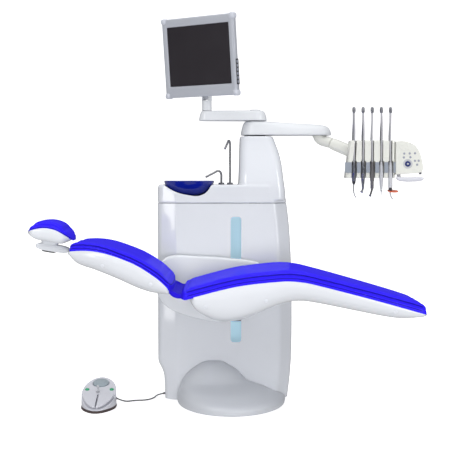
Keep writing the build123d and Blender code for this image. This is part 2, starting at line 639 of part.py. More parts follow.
with BuildPart() as elbow:
    column(ELBOW_CENTER, 1272, DELIVERY_LOW - 7, 34)
    column(ELBOW_CENTER, DELIVERY_LOW - 7, DELIVERY_LOW - 1, 37)
    column(ELBOW_CENTER, DELIVERY_LOW - 1, DELIVERY_LOW + 38, 14)
    cheeks(ELBOW_CENTER, 18.5, 28, 10, 80, 1278, 1326)
    shaft(tuple(Vector(*BALANCE_START) - ACROSS * 26), tuple(Vector(*BALANCE_START) + ACROSS * 26), 6)
save(elbow.part, "elbow")

with BuildPart() as balance_arm:
    reach = Vector(*BALANCE_END) - Vector(*BALANCE_START)
    with BuildSketch(Plane(origin=Vector(*BALANCE_START) + reach * 0.5, x_dir=reach, z_dir=ACROSS)) as link:
        SlotCenterToCenter(reach.length, 48)
    extrude(link.sketch, amount=18, both=True)
    for pin in (BALANCE_START, BALANCE_END):
        shaft(tuple(Vector(*pin) - ACROSS * 30), tuple(Vector(*pin) + ACROSS * 30), 6 + FIT, mode=Mode.SUBTRACT)
save(balance_arm.part, "balance_arm")

with BuildPart() as head_pivot:
    cheeks(BALANCE_END, 18.5, 26, -13, 13, 1206, 1254)
    with BuildSketch(Plane(origin=(BALANCE_END[0], BALANCE_END[1], 1206), x_dir=ALONG, z_dir=(0, 0, 1))) as bridge:
        Rectangle(26, 52)
    extrude(bridge.sketch, amount=5)
    shaft(tuple(Vector(*BALANCE_END) - ACROSS * 24), tuple(Vector(*BALANCE_END) + ACROSS * 24), 6)
    column(BALANCE_END, 1132, 1206, 13)
save(head_pivot.part, "head_pivot")

# ---------------------------------------------------------------- delivery head

with BuildPart() as head_block:
    block((HEAD_LEFT, HEAD_FRONT, HEAD_LOW), (HEAD_RIGHT, HEAD_REAR, HEAD_HIGH))
    fillet(head_block.edges().filter_by(Axis.Z), 14)
    fillet(head_block.edges().group_by(Axis.Z)[-1], 10)
    block((BALANCE_END[0] - 24, HEAD_REAR - 10, 1135), (BALANCE_END[0] + 24, BALANCE_END[1], 1200))
    column(BALANCE_END, 1130, 1204, 28)
    column(BALANCE_END, 1120, 1210, 13 + FIT, mode=Mode.SUBTRACT)
    for place in HOLDER_X:
        block((place - 13, HEAD_FRONT - 10, HEAD_LOW - 5), (place + 13, NOTCH_BACK, NOTCH_TOP), mode=Mode.SUBTRACT)
        block((place - 7, HEAD_FRONT - 10, NOTCH_TOP - 5), (place + 7, NOTCH_BACK, HEAD_HIGH + 5),
              mode=Mode.SUBTRACT)
    shaft((HEAD_LEFT + 15, WHIP_PIVOT_Y, WHIP_PIVOT_Z), (HEAD_RIGHT - 5, WHIP_PIVOT_Y, WHIP_PIVOT_Z), 3)
save(head_block.part, "head_block")

PAD_EDGES = [HEAD_LEFT - 4] + [edge for place in HOLDER_X for edge in (place - 13, place + 13)] + [HEAD_RIGHT]

with BuildPart() as holder_pads:
    for left, right in zip(PAD_EDGES[::2], PAD_EDGES[1::2]):
        block((left, HEAD_FRONT - 9, 1146), (right, HEAD_FRONT, 1198))
save(holder_pads.part, "holder_pads")

with BuildPart() as control_panel:
    with BuildSketch(Plane.XZ.offset(150)) as panel_side:
        with BuildLine():
            crest = Spline((HEAD_RIGHT + 0.3, 1301), (852, 1299), (893, 1277), (918, 1231), (930, 1170))
            corner = Line(crest @ 1, (924, 1146))
            foot = Line(corner @ 1, (HEAD_RIGHT + 0.3, 1136))
            Line(foot @ 1, crest @ 0)
        make_face()
    extrude(panel_side.sketch, amount=80)
save(control_panel.part, "control_panel")

with BuildPart() as head_handle:
    shaft((812, -226, 1114), (920, -226, 1114), 13)
    with Locations((812, -226, 1114), (920, -226, 1114)):
        Sphere(13)
    block((806, -226, 1110), (836, -180, 1124))
    block((806, -200, 1120), (836, -180, 1136))
save(head_handle.part, "head_handle")


def whip_arm(place, bow):
    """One whip arm: the sprung rod on its cross pin, the bulb on top and the hose down to its tool."""
    shaft((place - 6, WHIP_PIVOT_Y, WHIP_PIVOT_Z), (place + 6, WHIP_PIVOT_Y, WHIP_PIVOT_Z), 7)
    shaft((place - 9, WHIP_PIVOT_Y, WHIP_PIVOT_Z), (place + 9, WHIP_PIVOT_Y, WHIP_PIVOT_Z), 3 + FIT,
          mode=Mode.SUBTRACT)
    foot = (place, WHIP_PIVOT_Y, WHIP_PIVOT_Z + 5)
    with BuildLine() as bend:
        FilletPolyline(foot, (place, WHIP_PIVOT_Y, 1330), (place, -199, 1400), (place, -199, 1444), radius=60)
    with BuildSketch(Plane(origin=foot, z_dir=(0, 0, 1))) as rod:
        Circle(3)
    sweep(rod.sketch, path=bend.line)
    column((place, -203), 1443, 1474, 8.5)
    fillet(faces(Select.LAST).sort_by(Axis.Z)[-1].edges(), 6)
    route = [(place, -208, 1442.5), (place + bow, -213, 1385), (place + bow * 1.5, -215, 1330),
             (place + bow * 0.4, -213, 1265), (place, TOOL_Y, TOOL_TAIL + 0.5)]
    with BuildLine() as hose_line:
        FilletPolyline(*route, radius=[120, 160, 160])
    with BuildSketch(Plane(origin=route[0], z_dir=hose_line.line % 0)) as hose:
        Circle(HOSE_RADIUS)
    sweep(hose.sketch, path=hose_line.line)


WHIP_BOWS = [1.5, 2.0, -2.0, 1.8, -2.0]
for number, (place, bow) in enumerate(zip(HOLDER_X, WHIP_BOWS), start=1):
    with BuildPart() as whip:
        whip_arm(place, bow)
    save(whip.part, f"whip_arm_{number}")


def turned(place, outline):
    """A handpiece body turned about its own long axis; the outline is (radius, height) from the tail down."""
    with BuildSketch(Plane.XZ.offset(-TOOL_Y)) as half:
        with BuildLine():
            Polyline((place, outline[0][1]), *[(place + radius, height) for radius, height in outline],
                     (place, outline[-1][1]), close=True)
        make_face()
    revolve(half.sketch, axis=Axis((place, TOOL_Y, 0), (0, 0, 1)))


GRIP = [(5, TOOL_TAIL), (6, 1188), (9.5, 1182), (10.5, 1150)]

with BuildPart() as syringe:
    turned(HOLDER_X[0], GRIP + [(10.5, 1108), (8, 1092), (3, 1088), (2.2, 1046)])
    shaft((HOLDER_X[0], TOOL_Y, 1048), (HOLDER_X[0] + 11, TOOL_Y - 2, 1022), 2.2)
save(syringe.part, "syringe")

with BuildPart() as turbine:
    turned(HOLDER_X[1], GRIP + [(9, 1108), (7, 1090), (5, 1066)])
    shaft((HOLDER_X[1], TOOL_Y, 1067), (HOLDER_X[1] - 5, TOOL_Y - 1, 1052), 4.6)
    shaft((HOLDER_X[1] - 12, TOOL_Y - 1, 1054), (HOLDER_X[1] + 1, TOOL_Y - 1, 1048), 6)
save(turbine.part, "turbine")

with BuildPart() as micromotor:
    turned(HOLDER_X[2], GRIP + [(10.5, 1106), (8.5, 1104), (8, 1068), (5.5, 1064)])
    shaft((HOLDER_X[2], TOOL_Y, 1066), (HOLDER_X[2] - 9, TOOL_Y - 1, 1034), 4.8)
    shaft((HOLDER_X[2] - 15, TOOL_Y - 1, 1036), (HOLDER_X[2] - 4, TOOL_Y - 1, 1028), 5)
save(micromotor.part, "micromotor")

with BuildPart() as scaler:
    turned(HOLDER_X[3], GRIP + [(9.5, 1110), (8, 1082), (4.5, 1060), (2, 1052), (0.8, 1028)])
save(scaler.part, "scaler")

with BuildPart() as curing_light:
    turned(HOLDER_X[4], GRIP + [(10.5, 1074), (9, 1070), (9, 1058), (4.5, 1056), (4, 1036)])
    shaft((HOLDER_X[4], TOOL_Y, 1056), (HOLDER_X[4], TOOL_Y, 1052), 20)
    shaft((HOLDER_X[4], TOOL_Y, 1037), (HOLDER_X[4] + 12, TOOL_Y - 3, 1012), 3.8)
save(curing_light.part, "curing_light")

# ---------------------------------------------------------------- foot control

FOOT_TOP = Plane(origin=(*FOOT_CENTER, FOOT_MIDDLE), x_dir=(1, 0, 0),
                 z_dir=(0, -sin(radians(FOOT_SLOPE)), cos(radians(FOOT_SLOPE))))


def foot_plan(inset, low, high, mode=Mode.ADD):
    """The foot control's egg outline as an upright prism."""
    with BuildSketch(Plane.XY.offset(low)) as plan:
        with Locations(FOOT_CENTER):
            Ellipse(FOOT_HALF[0] - inset, FOOT_HALF[1] - inset)
    extrude(plan.sketch, amount=high - low, mode=mode)


def on_foot(x, y, radius, low, high, mode=Mode.ADD):
    """A round piece standing on the foot control's sloping top."""
    with BuildSketch(FOOT_TOP.offset(low)) as spot:
        with Locations((x, y)):
            Circle(radius)
    extrude(spot.sketch, amount=high - low, mode=mode)


def above_slope(offset_up, mode=Mode.SUBTRACT):
    """Everything above a plane parallel to the sloping top."""
    with BuildSketch(FOOT_TOP.offset(offset_up)) as sheet:
        Rectangle(400, 500)
    extrude(sheet.sketch, amount=120, mode=mode)


with BuildPart() as foot_base:
    foot_plan(0, 0, FOOT_BASE)
    chamfer(foot_base.edges().group_by(Axis.Z)[-1], 3)
save(foot_base.part, "foot_base")

PEDAL_REAR = -20.0
PEDAL_DEPTH = 14.0
DOME_Y = 92.0
BUTTONS = [("left", -60), ("right", 60)]
BUTTON_Y = 26.0

with BuildPart() as foot_hollow:
    foot_plan(6, FOOT_BASE, 120)
    above_slope(-26)

with BuildPart() as foot_cover:
    foot_plan(2, FOOT_BASE, 130)
    above_slope(0)
    add(foot_hollow.part, mode=Mode.SUBTRACT)
    with BuildSketch(FOOT_TOP.offset(-PEDAL_DEPTH)) as recess:
        with Locations((0, PEDAL_REAR - 100)):
            Rectangle(300, 200)
    extrude(recess.sketch, amount=60, mode=Mode.SUBTRACT)
    on_foot(0, DOME_Y, 41, -8, 20, mode=Mode.SUBTRACT)
    on_foot(-4, 4, 9, -20, 20, mode=Mode.SUBTRACT)
    for name, x in BUTTONS:
        on_foot(x, BUTTON_Y, 10.4, -8, 20, mode=Mode.SUBTRACT)
save(foot_cover.part, "foot_cover")

with BuildPart() as foot_dome:
    on_foot(0, DOME_Y, 39, -3.5, 5)
    fillet(foot_dome.edges().sort_by(Axis(FOOT_TOP.origin, FOOT_TOP.z_dir))[-1], 4)
    on_foot(0, DOME_Y, 24, 5, 9)
save(foot_dome.part, "foot_dome")

for name, x in BUTTONS:
    with BuildPart() as foot_button:
        on_foot(x, BUTTON_Y, 10, -4, 4)
    save(foot_button.part, f"foot_button_{name}")

def foot_place(x, y, lift):
    """A point above the foot control's sloping top."""
    return tuple(FOOT_TOP.from_local_coords((x, y, lift)))


with BuildPart() as foot_joystick:
    on_foot(-4, 4, 4, -12, 26)
    on_foot(-4, 4, 6.5, 22, 34)
    shaft(foot_place(-4, -2, -6), foot_place(-4, 10, -6), 5)
save(foot_joystick.part, "foot_joystick")

for name, side in (("left", -1), ("right", 1)):
    with BuildPart() as foot_pedal:
        with BuildSketch(FOOT_TOP.offset(-5)) as tread:
            with Locations((side * 46, PEDAL_REAR - 80)):
                Rectangle(84, 154)
        extrude(tread.sketch, amount=9)
        shaft(foot_place(side * 46 - 42, PEDAL_REAR - 4, 0), foot_place(side * 46 + 42, PEDAL_REAR - 4, 0), 2.5)
        foot_plan(8, 0, 150, mode=Mode.INTERSECT)
    save(foot_pedal.part, f"foot_pedal_{name}")

with BuildPart() as cable_glands:
    shaft((-605.1, -265.5, 29), CABLE_ROUTE[0], 7, 4.5)
    shaft((-358, -97.2, 17.2), CABLE_ROUTE[-1], 7, 4.5)
    add(foot_cover.part, mode=Mode.SUBTRACT)
    add(column_cover.part, mode=Mode.SUBTRACT)
save(cable_glands.part, "cable_glands")


def arc_radii(route):
    """The largest arc that each corner of a route leaves room for."""
    points = [Vector(*point) for point in route]
    radii = []
    for before, corner, after in zip(points, points[1:], points[2:]):
        turn = radians((corner - before).get_angle(after - corner))
        radii.append(0.45 * min((corner - before).length, (after - corner).length) / tan(turn / 2))
    return radii


with BuildPart() as foot_cable:
    cable_radii = arc_radii(CABLE_ROUTE)
    with BuildLine() as cable_line:
        FilletPolyline(*CABLE_ROUTE, radius=cable_radii)
    with BuildSketch(Plane(origin=CABLE_ROUTE[0], z_dir=cable_line.line % 0)) as cable_section:
        Circle(CABLE_RADIUS)
    sweep(cable_section.sketch, path=cable_line.line)
save(foot_cable.part, "foot_cable")
cable_length = sum(edge.length for edge in cable_line.line.edges())
print("cable arc radii", [round(radius, 1) for radius in cable_radii], "length", round(cable_length, 1))
print("cable volume over section times length", foot_cable.part.volume / (pi * CABLE_RADIUS**2 * cable_length))
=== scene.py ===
import math

import bmesh
import bpy
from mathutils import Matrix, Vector
from mathutils.bvhtree import BVHTree


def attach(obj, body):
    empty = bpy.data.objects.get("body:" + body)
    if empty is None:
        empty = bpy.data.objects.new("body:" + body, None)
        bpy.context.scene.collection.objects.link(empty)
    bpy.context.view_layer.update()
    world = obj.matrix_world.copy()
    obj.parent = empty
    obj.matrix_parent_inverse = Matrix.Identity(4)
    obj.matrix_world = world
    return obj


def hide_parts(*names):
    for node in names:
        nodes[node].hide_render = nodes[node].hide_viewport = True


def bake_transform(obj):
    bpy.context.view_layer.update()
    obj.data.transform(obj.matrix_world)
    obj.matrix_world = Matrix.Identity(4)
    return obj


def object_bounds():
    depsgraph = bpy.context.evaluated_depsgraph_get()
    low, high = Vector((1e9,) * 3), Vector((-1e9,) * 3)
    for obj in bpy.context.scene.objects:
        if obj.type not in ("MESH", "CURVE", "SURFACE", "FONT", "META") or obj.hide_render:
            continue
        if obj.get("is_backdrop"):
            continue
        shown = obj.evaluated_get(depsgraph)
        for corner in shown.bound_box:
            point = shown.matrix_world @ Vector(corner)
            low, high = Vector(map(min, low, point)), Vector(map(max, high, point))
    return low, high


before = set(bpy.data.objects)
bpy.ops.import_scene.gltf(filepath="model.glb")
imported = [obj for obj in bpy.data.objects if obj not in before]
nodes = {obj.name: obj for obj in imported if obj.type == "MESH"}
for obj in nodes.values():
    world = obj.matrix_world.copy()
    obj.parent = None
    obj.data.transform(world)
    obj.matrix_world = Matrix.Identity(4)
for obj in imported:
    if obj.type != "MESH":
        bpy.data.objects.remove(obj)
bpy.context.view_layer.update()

scene = bpy.context.scene
UP = Vector((0, 0, 1))
X_AXIS, Y_AXIS = Vector((1, 0, 0)), Vector((0, 1, 0))

# ---------------------------------------------------------------- camera

camera_data = bpy.data.cameras.new("view_camera")
camera_data.sensor_width = 36
camera_data.lens = 81.6
CAMERA_DOWN = math.radians(2.47)
camera = bpy.data.objects.new("view_camera", camera_data)
camera.location = (-0.055, -5.3, 1.105)
camera.rotation_euler = (math.radians(90) - CAMERA_DOWN, 0, 0)
scene.collection.objects.link(camera)
scene.camera = camera

# ---------------------------------------------------------------- mesh helpers


def tag(obj, body, replaces=()):
    """Say which body a piece rides and which CAD nodes it stands for."""
    if body is not None:
        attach(obj, body)
    if replaces:
        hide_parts(*replaces)
    return obj


def put(name, data, material, body, replaces=()):
    """Add a piece to the scene: its material, its body, and the CAD nodes that it stands for."""
    obj = bpy.data.objects.new(name, data)
    scene.collection.objects.link(obj)
    if material is not None:
        data.materials.append(material)
    if isinstance(data, bpy.types.Mesh):
        data.shade_smooth()
    return tag(obj, body, replaces)


def baked(obj):
    """Turn the object's modifiers into its mesh."""
    graph = bpy.context.evaluated_depsgraph_get()
    mesh = bpy.data.meshes.new_from_object(obj.evaluated_get(graph))
    obj.modifiers.clear()
    obj.data = mesh
    mesh.shade_smooth()
    return obj


def remeshed(obj, voxel, rounds):
    """The object's mesh made into one skin, with its edges rounded."""
    remesh = obj.modifiers.new("skin", "REMESH")
    remesh.mode = "VOXEL"
    remesh.voxel_size = voxel
    smooth = obj.modifiers.new("round", "SMOOTH")
    smooth.factor = 0.5
    smooth.iterations = rounds
    return baked(obj)


def divided(obj, levels):
    """The object's mesh with its faces divided and smoothed."""
    divide = obj.modifiers.new("divide", "SUBSURF")
    divide.levels = divide.render_levels = levels
    return baked(obj)


def painted(obj, material):
    """The object with one material only."""
    obj.data.materials.clear()
    obj.data.materials.append(material)
    return obj


def skin(name, rings, closed=True, capped=True):
    """A mesh through a row of rings that have the same number of points."""
    count = len(rings[0])
    faces = []
    for row in range(len(rings) - 1):
        for step in range(count if closed else count - 1):
            a, b = row * count + step, row * count + (step + 1) % count
            faces.append((a, b, b + count, a + count))
    if capped:
        faces.append(tuple(reversed(range(count))))
        faces.append(tuple((len(rings) - 1) * count + step for step in range(count)))
    mesh = bpy.data.meshes.new(name)
    mesh.from_pydata([tuple(point) for ring in rings for point in ring], [], faces)
    bm = bmesh.new()
    bm.from_mesh(mesh)
    bmesh.ops.recalc_face_normals(bm, faces=bm.faces)
    bm.to_mesh(mesh)
    bm.free()
    return mesh


def joined(name, meshes):
    """Several meshes as one, with coincident points merged."""
    bm = bmesh.new()
    for mesh in meshes:
        bm.from_mesh(mesh)
    bmesh.ops.remove_doubles(bm, verts=bm.verts, dist=1e-5)
    mesh = bpy.data.meshes.new(name)
    bm.to_mesh(mesh)
    bm.free()
    return mesh


def power(value, exponent):
    """A signed power, for superellipses."""
    return math.copysign(abs(value) ** exponent, value)


def oval(center, u, v, half_u, half_v, squareness=2.0, count=48):
    """A superellipse ring."""
    ring = []
    for step in range(count):
        angle = 2 * math.pi * step / count
        ring.append(center + u * half_u * power(math.cos(angle), 2 / squareness)
                    + v * half_v * power(math.sin(angle), 2 / squareness))
    return ring


def sized_ovals(center, along, u, v, half_u, half_v, sizes, squareness, count=48):
    """Ovals one behind the other: (distance along, share of the full size)."""
    return [oval(center + along * distance, u, v, half_u * size, half_v * size, squareness, count)
            for distance, size in sizes]


def column_of(table, index):
    """One column of a table against its first, for curve_value."""
    return [(row[0], row[index]) for row in table]


def rounded(center, width, depth, corner, count=12):
    """A rounded rectangle ring in the XY plane."""
    corner = min(corner, width / 2 - 1e-4, depth / 2 - 1e-4)
    ring = []
    for quarter, (sx, sy) in enumerate(((1, 1), (-1, 1), (-1, -1), (1, -1))):
        hub = center + Vector((sx * (width / 2 - corner), sy * (depth / 2 - corner), 0))
        for step in range(count):
            angle = math.pi / 2 * (quarter + step / (count - 1))
            ring.append(hub + Vector((math.cos(angle), math.sin(angle), 0)) * corner)
    return ring


def curve_value(table, x):
    """A smooth curve through a table of (x, value) pairs, with x rising or falling."""
    rows = sorted(table)
    if x <= rows[0][0]:
        return rows[0][1]
    if x >= rows[-1][0]:
        return rows[-1][1]
    for index in range(len(rows) - 1):
        if x <= rows[index + 1][0]:
            break
    x0, y0 = rows[index]
    x1, y1 = rows[index + 1]
    before = rows[max(index - 1, 0)]
    after = rows[min(index + 2, len(rows) - 1)]
    slope0 = (y1 - before[1]) / (x1 - before[0])
    slope1 = (after[1] - y0) / (after[0] - x0)
    run = x1 - x0
    t = (x - x0) / run
    return ((2 * t**3 - 3 * t**2 + 1) * y0 + (t**3 - 2 * t**2 + t) * run * slope0
            + (3 * t**2 - 2 * t**3) * y1 + (t**3 - t**2) * run * slope1)


def frame_of(direction):
    """Two directions across a given one."""
    direction = Vector(direction).normalized()
    side = direction.cross(UP if abs(direction.z) < 0.9 else Vector((0, 1, 0))).normalized()
    return side, direction.cross(side).normalized()


def lathe(name, origin, direction, profile, count=32):
    """A turned mesh: (radius, distance along the axis) from one end to the other."""
    direction = Vector(direction).normalized()
    u, v = frame_of(direction)
    rings = [oval(Vector(origin) + direction * distance, u, v, max(radius, 1e-5), max(radius, 1e-5), 2, count)
             for radius, distance in profile]
    return skin(name, rings)


def solid_tube(name, points, radius, end_radius=None, count=16, steps=24):
    """A mesh tube along a smooth line through a few points, narrowing if an end radius is given."""
    points = [Vector(point) for point in points]
    line = []
    for index in range(len(points) - 1):
        a = points[max(index - 1, 0)]
        b, c = points[index], points[index + 1]
        d = points[min(index + 2, len(points) - 1)]
        for step in range(steps):
            t = step / steps
            line.append(0.5 * (2 * b + (c - a) * t + (2 * a - 5 * b + 4 * c - d) * t**2
                               + (3 * b - a - 3 * c + d) * t**3))
    line.append(points[-1])
    rings = []
    u, v = frame_of(line[1] - line[0])
    for index, place in enumerate(line):
        ahead = (line[min(index + 1, len(line) - 1)] - line[max(index - 1, 0)]).normalized()
        u = (u - ahead * u.dot(ahead)).normalized()
        v = ahead.cross(u)
        t = index / (len(line) - 1)
        size = radius if end_radius is None else radius + (end_radius - radius) * t
        if index == 0:
            rings.append(oval(place, u, v, size * 0.7, size * 0.7, 2, count))
            place = place + ahead * size * 0.25
        rings.append(oval(place, u, v, size, size, 2, count))
        if index == len(line) - 1:
            rings.append(oval(place + ahead * size * 0.25, u, v, size * 0.7, size * 0.7, 2, count))
    return skin(name, rings)


def nurbs(name, route, radius, bevel, order):
    """A round curve with the route's points as its control points, and its spline."""
    data = bpy.data.curves.new(name, "CURVE")
    data.dimensions = "3D"
    data.bevel_depth = radius
    data.bevel_resolution = bevel
    spline = data.splines.new("NURBS")
    spline.points.add(len(route) - 1)
    for point, place in zip(spline.points, route):
        point.co = (*place, 1)
    spline.order_u = order
    return data, spline


def spline_curve(name, route, radius):
    """An open round curve that starts and ends on the route's end points."""
    data, spline = nurbs(name, route, radius, 6, 3)
    data.use_fill_caps = True
    spline.use_endpoint_u = True
    spline.resolution_u = 12
    return data


def moulded(name, meshes, voxel, rounds, material, body, replaces=()):
    """One smooth moulding: the meshes merged into one skin, with their edges rounded."""
    obj = remeshed(put(name, joined(name, meshes), None, None), voxel, rounds)
    return tag(painted(obj, material), body, replaces)


def cut(mesh, cutters):
    """The mesh with other closed meshes taken out of it."""
    target = put("cut_target", mesh, None, None)
    tools = [put("cut_tool", cutter, None, None) for cutter in cutters]
    for tool in tools:
        modifier = target.modifiers.new("cut", "BOOLEAN")
        modifier.operation = "DIFFERENCE"
        modifier.solver = "EXACT"
        modifier.object = tool
    baked(target)
    result = target.data
    for obj in [target] + tools:
        bpy.data.objects.remove(obj)
    return result


def cad_mesh(*names):
    """A copy of the mesh of some CAD nodes."""
    return joined(names[0] + "_copy", [nodes[name].data for name in names])


def tree_of(obj):
    """A search tree of an object's mesh."""
    bm = bmesh.new()
    bm.from_mesh(obj.data)
    tree = BVHTree.FromBMesh(bm)
    bm.free()
    return tree


# ---------------------------------------------------------------- materials


def finish(name, color, roughness=0.3, metallic=0.0, coat=0.0, mottle=0.03, mottle_scale=5.0, grain=0.02,
           grain_scale=350.0, patchy=0.06, stretch=(1, 1, 1), leather=False, transmission=0.0, glow=0.0,
           specular=0.5):
    """A procedural finish: slow colour change, patchy gloss and a fine relief; with glow, an emission that
    paints light into the colour.
    """
    material = bpy.data.materials.new(name)
    material.use_nodes = True
    tree = material.node_tree
    tree.nodes.clear()
    output = tree.nodes.new("ShaderNodeOutputMaterial")
    shader = tree.nodes.new("ShaderNodeBsdfPrincipled")
    place = tree.nodes.new("ShaderNodeTexCoord")
    mapping = tree.nodes.new("ShaderNodeMapping")
    mapping.inputs["Scale"].default_value = stretch
    slow = tree.nodes.new("ShaderNodeTexNoise")
    slow.inputs["Scale"].default_value = mottle_scale
    slow.inputs["Detail"].default_value = 3
    mix = tree.nodes.new("ShaderNodeMix")
    mix.data_type = "RGBA"
    mix.inputs[6].default_value = (*[min(1.0, part * (1 - mottle)) for part in color], 1)
    mix.inputs[7].default_value = (*[min(1.0, part * (1 + mottle)) for part in color], 1)
    gloss = tree.nodes.new("ShaderNodeTexNoise")
    gloss.inputs["Scale"].default_value = mottle_scale * 4
    gloss.inputs["Detail"].default_value = 5
    spread = tree.nodes.new("ShaderNodeMapRange")
    spread.inputs["To Min"].default_value = max(0.02, roughness - patchy)
    spread.inputs["To Max"].default_value = min(1.0, roughness + patchy)
    if leather:
        fine = tree.nodes.new("ShaderNodeTexVoronoi")
        fine.feature = "SMOOTH_F1"
        fine.inputs["Scale"].default_value = grain_scale
        height = fine.outputs["Distance"]
    else:
        fine = tree.nodes.new("ShaderNodeTexNoise")
        fine.inputs["Scale"].default_value = grain_scale
        fine.inputs["Detail"].default_value = 3
        height = fine.outputs["Fac"]
    bump = tree.nodes.new("ShaderNodeBump")
    bump.inputs["Strength"].default_value = grain
    bump.inputs["Distance"].default_value = 0.001
    tree.links.new(place.outputs["Object"], mapping.inputs["Vector"])
    for node in (slow, gloss, fine):
        tree.links.new(mapping.outputs["Vector"], node.inputs["Vector"])
    tree.links.new(slow.outputs["Fac"], mix.inputs[0])
    tree.links.new(mix.outputs[2], shader.inputs["Base Color"])
    tree.links.new(gloss.outputs["Fac"], spread.inputs["Value"])
    tree.links.new(spread.outputs["Result"], shader.inputs["Roughness"])
    tree.links.new(height, bump.inputs["Height"])
    tree.links.new(bump.outputs["Normal"], shader.inputs["Normal"])
    tree.links.new(shader.outputs["BSDF"], output.inputs["Surface"])
    shader.inputs["Metallic"].default_value = metallic
    shader.inputs["Specular IOR Level"].default_value = specular
    shader.inputs["Coat Weight"].default_value = coat
    shader.inputs["Coat Roughness"].default_value = 0.06
    shader.inputs["Transmission Weight"].default_value = transmission
    if glow:
        shader.inputs["Emission Color"].default_value = (*color, 1)
        shader.inputs["Emission Strength"].default_value = glow
    return material


gloss_white = finish("gloss_white", (0.69, 0.71, 0.75), 0.16, coat=0.6, grain=0.008, grain_scale=120)
column_white = finish("column_white", (0.66, 0.68, 0.725), 0.14, coat=0.8, grain=0.006, grain_scale=60)
satin_grey = finish("satin_grey", (0.56, 0.58, 0.62), 0.36, coat=0.15, grain=0.05, grain_scale=500)
vinyl = finish("vinyl", (0.030, 0.015, 0.86), 0.30, coat=0.16, mottle=0.10, mottle_scale=9, grain=0.08,
               grain_scale=520, leather=True, specular=0.0)
# Darker blue vinyl: the welts' own piping, and in the side grooves thin lines whose dark colour is painted
# shade.
piping_and_groove_shade_vinyl = finish("piping_and_groove_shade_vinyl", (0.012, 0.007, 0.36), 0.30, coat=0.10, grain=0.10, grain_scale=700,
                      leather=True, specular=0.0)
# The fold's vinyl is the seat vinyl made darker: painted shade of the crease between back and seat.
shaded_fold_vinyl = finish("shaded_fold_vinyl", (0.022, 0.011, 0.62), 0.34, coat=0.08, grain=0.10, grain_scale=520,
                    leather=True,
                    specular=0.0)
ivory = finish("ivory", (0.70, 0.705, 0.66), 0.28, coat=0.35, grain=0.03, grain_scale=420)
arm_paint = finish("arm_paint", (0.67, 0.69, 0.72), 0.32, coat=0.25, grain=0.04, grain_scale=480)
holder_blue = finish("holder_blue", (0.26, 0.29, 0.34), 0.42, grain=0.10, grain_scale=600)
frame_paint = finish("frame_paint", (0.22, 0.23, 0.25), 0.45, metallic=0.3, grain=0.12, grain_scale=300)
brushed = finish("brushed_steel", (0.62, 0.63, 0.65), 0.27, metallic=1.0, grain=0.05, grain_scale=300,
                 stretch=(1, 1, 0.08))
tap_steel = finish("tap_steel", (0.40, 0.40, 0.41), 0.28, metallic=1.0, grain=0.03, grain_scale=500,
                   patchy=0.04)
chrome = finish("chrome", (0.50, 0.51, 0.53), 0.12, metallic=1.0, grain=0.01, grain_scale=200, patchy=0.03)
cobalt = finish("cobalt_glass", (0.002, 0.010, 0.20), 0.10, coat=0.6, mottle=0.25, grain=0.01, grain_scale=60,
                specular=0.35)
# The slot lining glows with emission 0.75: painted light, so the strip deep in the slot reads as lit.
liner = finish("slot_lining_painted_glow", (0.40, 0.60, 0.72), 0.30, coat=0.3, grain=0.04, grain_scale=90,
               stretch=(1, 1, 0.2), glow=0.75)
monitor_grey = finish("monitor_grey", (0.47, 0.49, 0.54), 0.34, metallic=0.25, coat=0.2, grain=0.05,
                      grain_scale=700)
bumper_grey = finish("bumper_grey", (0.55, 0.57, 0.63), 0.55, grain=0.15, grain_scale=600)
screen_black = finish("screen_black", (0.022, 0.019, 0.023), 0.30, coat=0.0, mottle=0.25, mottle_scale=3,
                      grain=0.02, grain_scale=900, specular=0.25)
dark_plastic = finish("dark_plastic", (0.030, 0.030, 0.035), 0.42, grain=0.08, grain_scale=600)
grip_white = finish("grip_white", (0.50, 0.51, 0.54), 0.30, coat=0.2, grain=0.06, grain_scale=500)
grip_steel = finish("grip_steel", (0.24, 0.25, 0.28), 0.28, metallic=1.0, grain=0.08, grain_scale=500,
                    stretch=(1, 1, 0.15))
hose_grey = finish("hose_grey", (0.40, 0.40, 0.43), 0.5, grain=0.12, grain_scale=600)
dome_grey = finish("dome_grey", (0.30, 0.36, 0.40), 0.34, coat=0.3, grain=0.05, grain_scale=450)
motor_grey = finish("motor_grey", (0.16, 0.155, 0.16), 0.34, metallic=0.4, grain=0.06, grain_scale=500)
rod_grey = finish("rod_grey", (0.25, 0.255, 0.28), 0.32, metallic=0.75, grain=0.04, grain_scale=400)
lilac = finish("lilac", (0.62, 0.625, 0.68), 0.33, coat=0.3, grain=0.05, grain_scale=450)
rim_brown = finish("rim_brown", (0.060, 0.040, 0.038), 0.55, grain=0.15, grain_scale=500)
button_green = finish("button_green", (0.03, 0.36, 0.17), 0.3, coat=0.4, grain=0.02, grain_scale=500)
cable_grey = finish("cable_grey", (0.10, 0.10, 0.11), 0.45, grain=0.10, grain_scale=700)
key_grey = finish("key_grey", (0.30, 0.32, 0.38), 0.45, grain=0.05, grain_scale=800)
navy = finish("navy_button", (0.012, 0.025, 0.14), 0.3, coat=0.4, grain=0.03, grain_scale=700)
shield_orange = finish("shield_orange", (0.78, 0.12, 0.02), 0.16, coat=0.3, grain=0.02, grain_scale=300,
                       transmission=0.35)
rubber = finish("rubber", (0.14, 0.14, 0.15), 0.65, grain=0.2, grain_scale=600)
white_paint = finish("white_paint", (0.62, 0.63, 0.70), 0.4, coat=0.1, grain=0.08, grain_scale=420)
plastic_cap = finish("plastic_cap", (0.70, 0.72, 0.77), 0.40, grain=0.05, grain_scale=600)

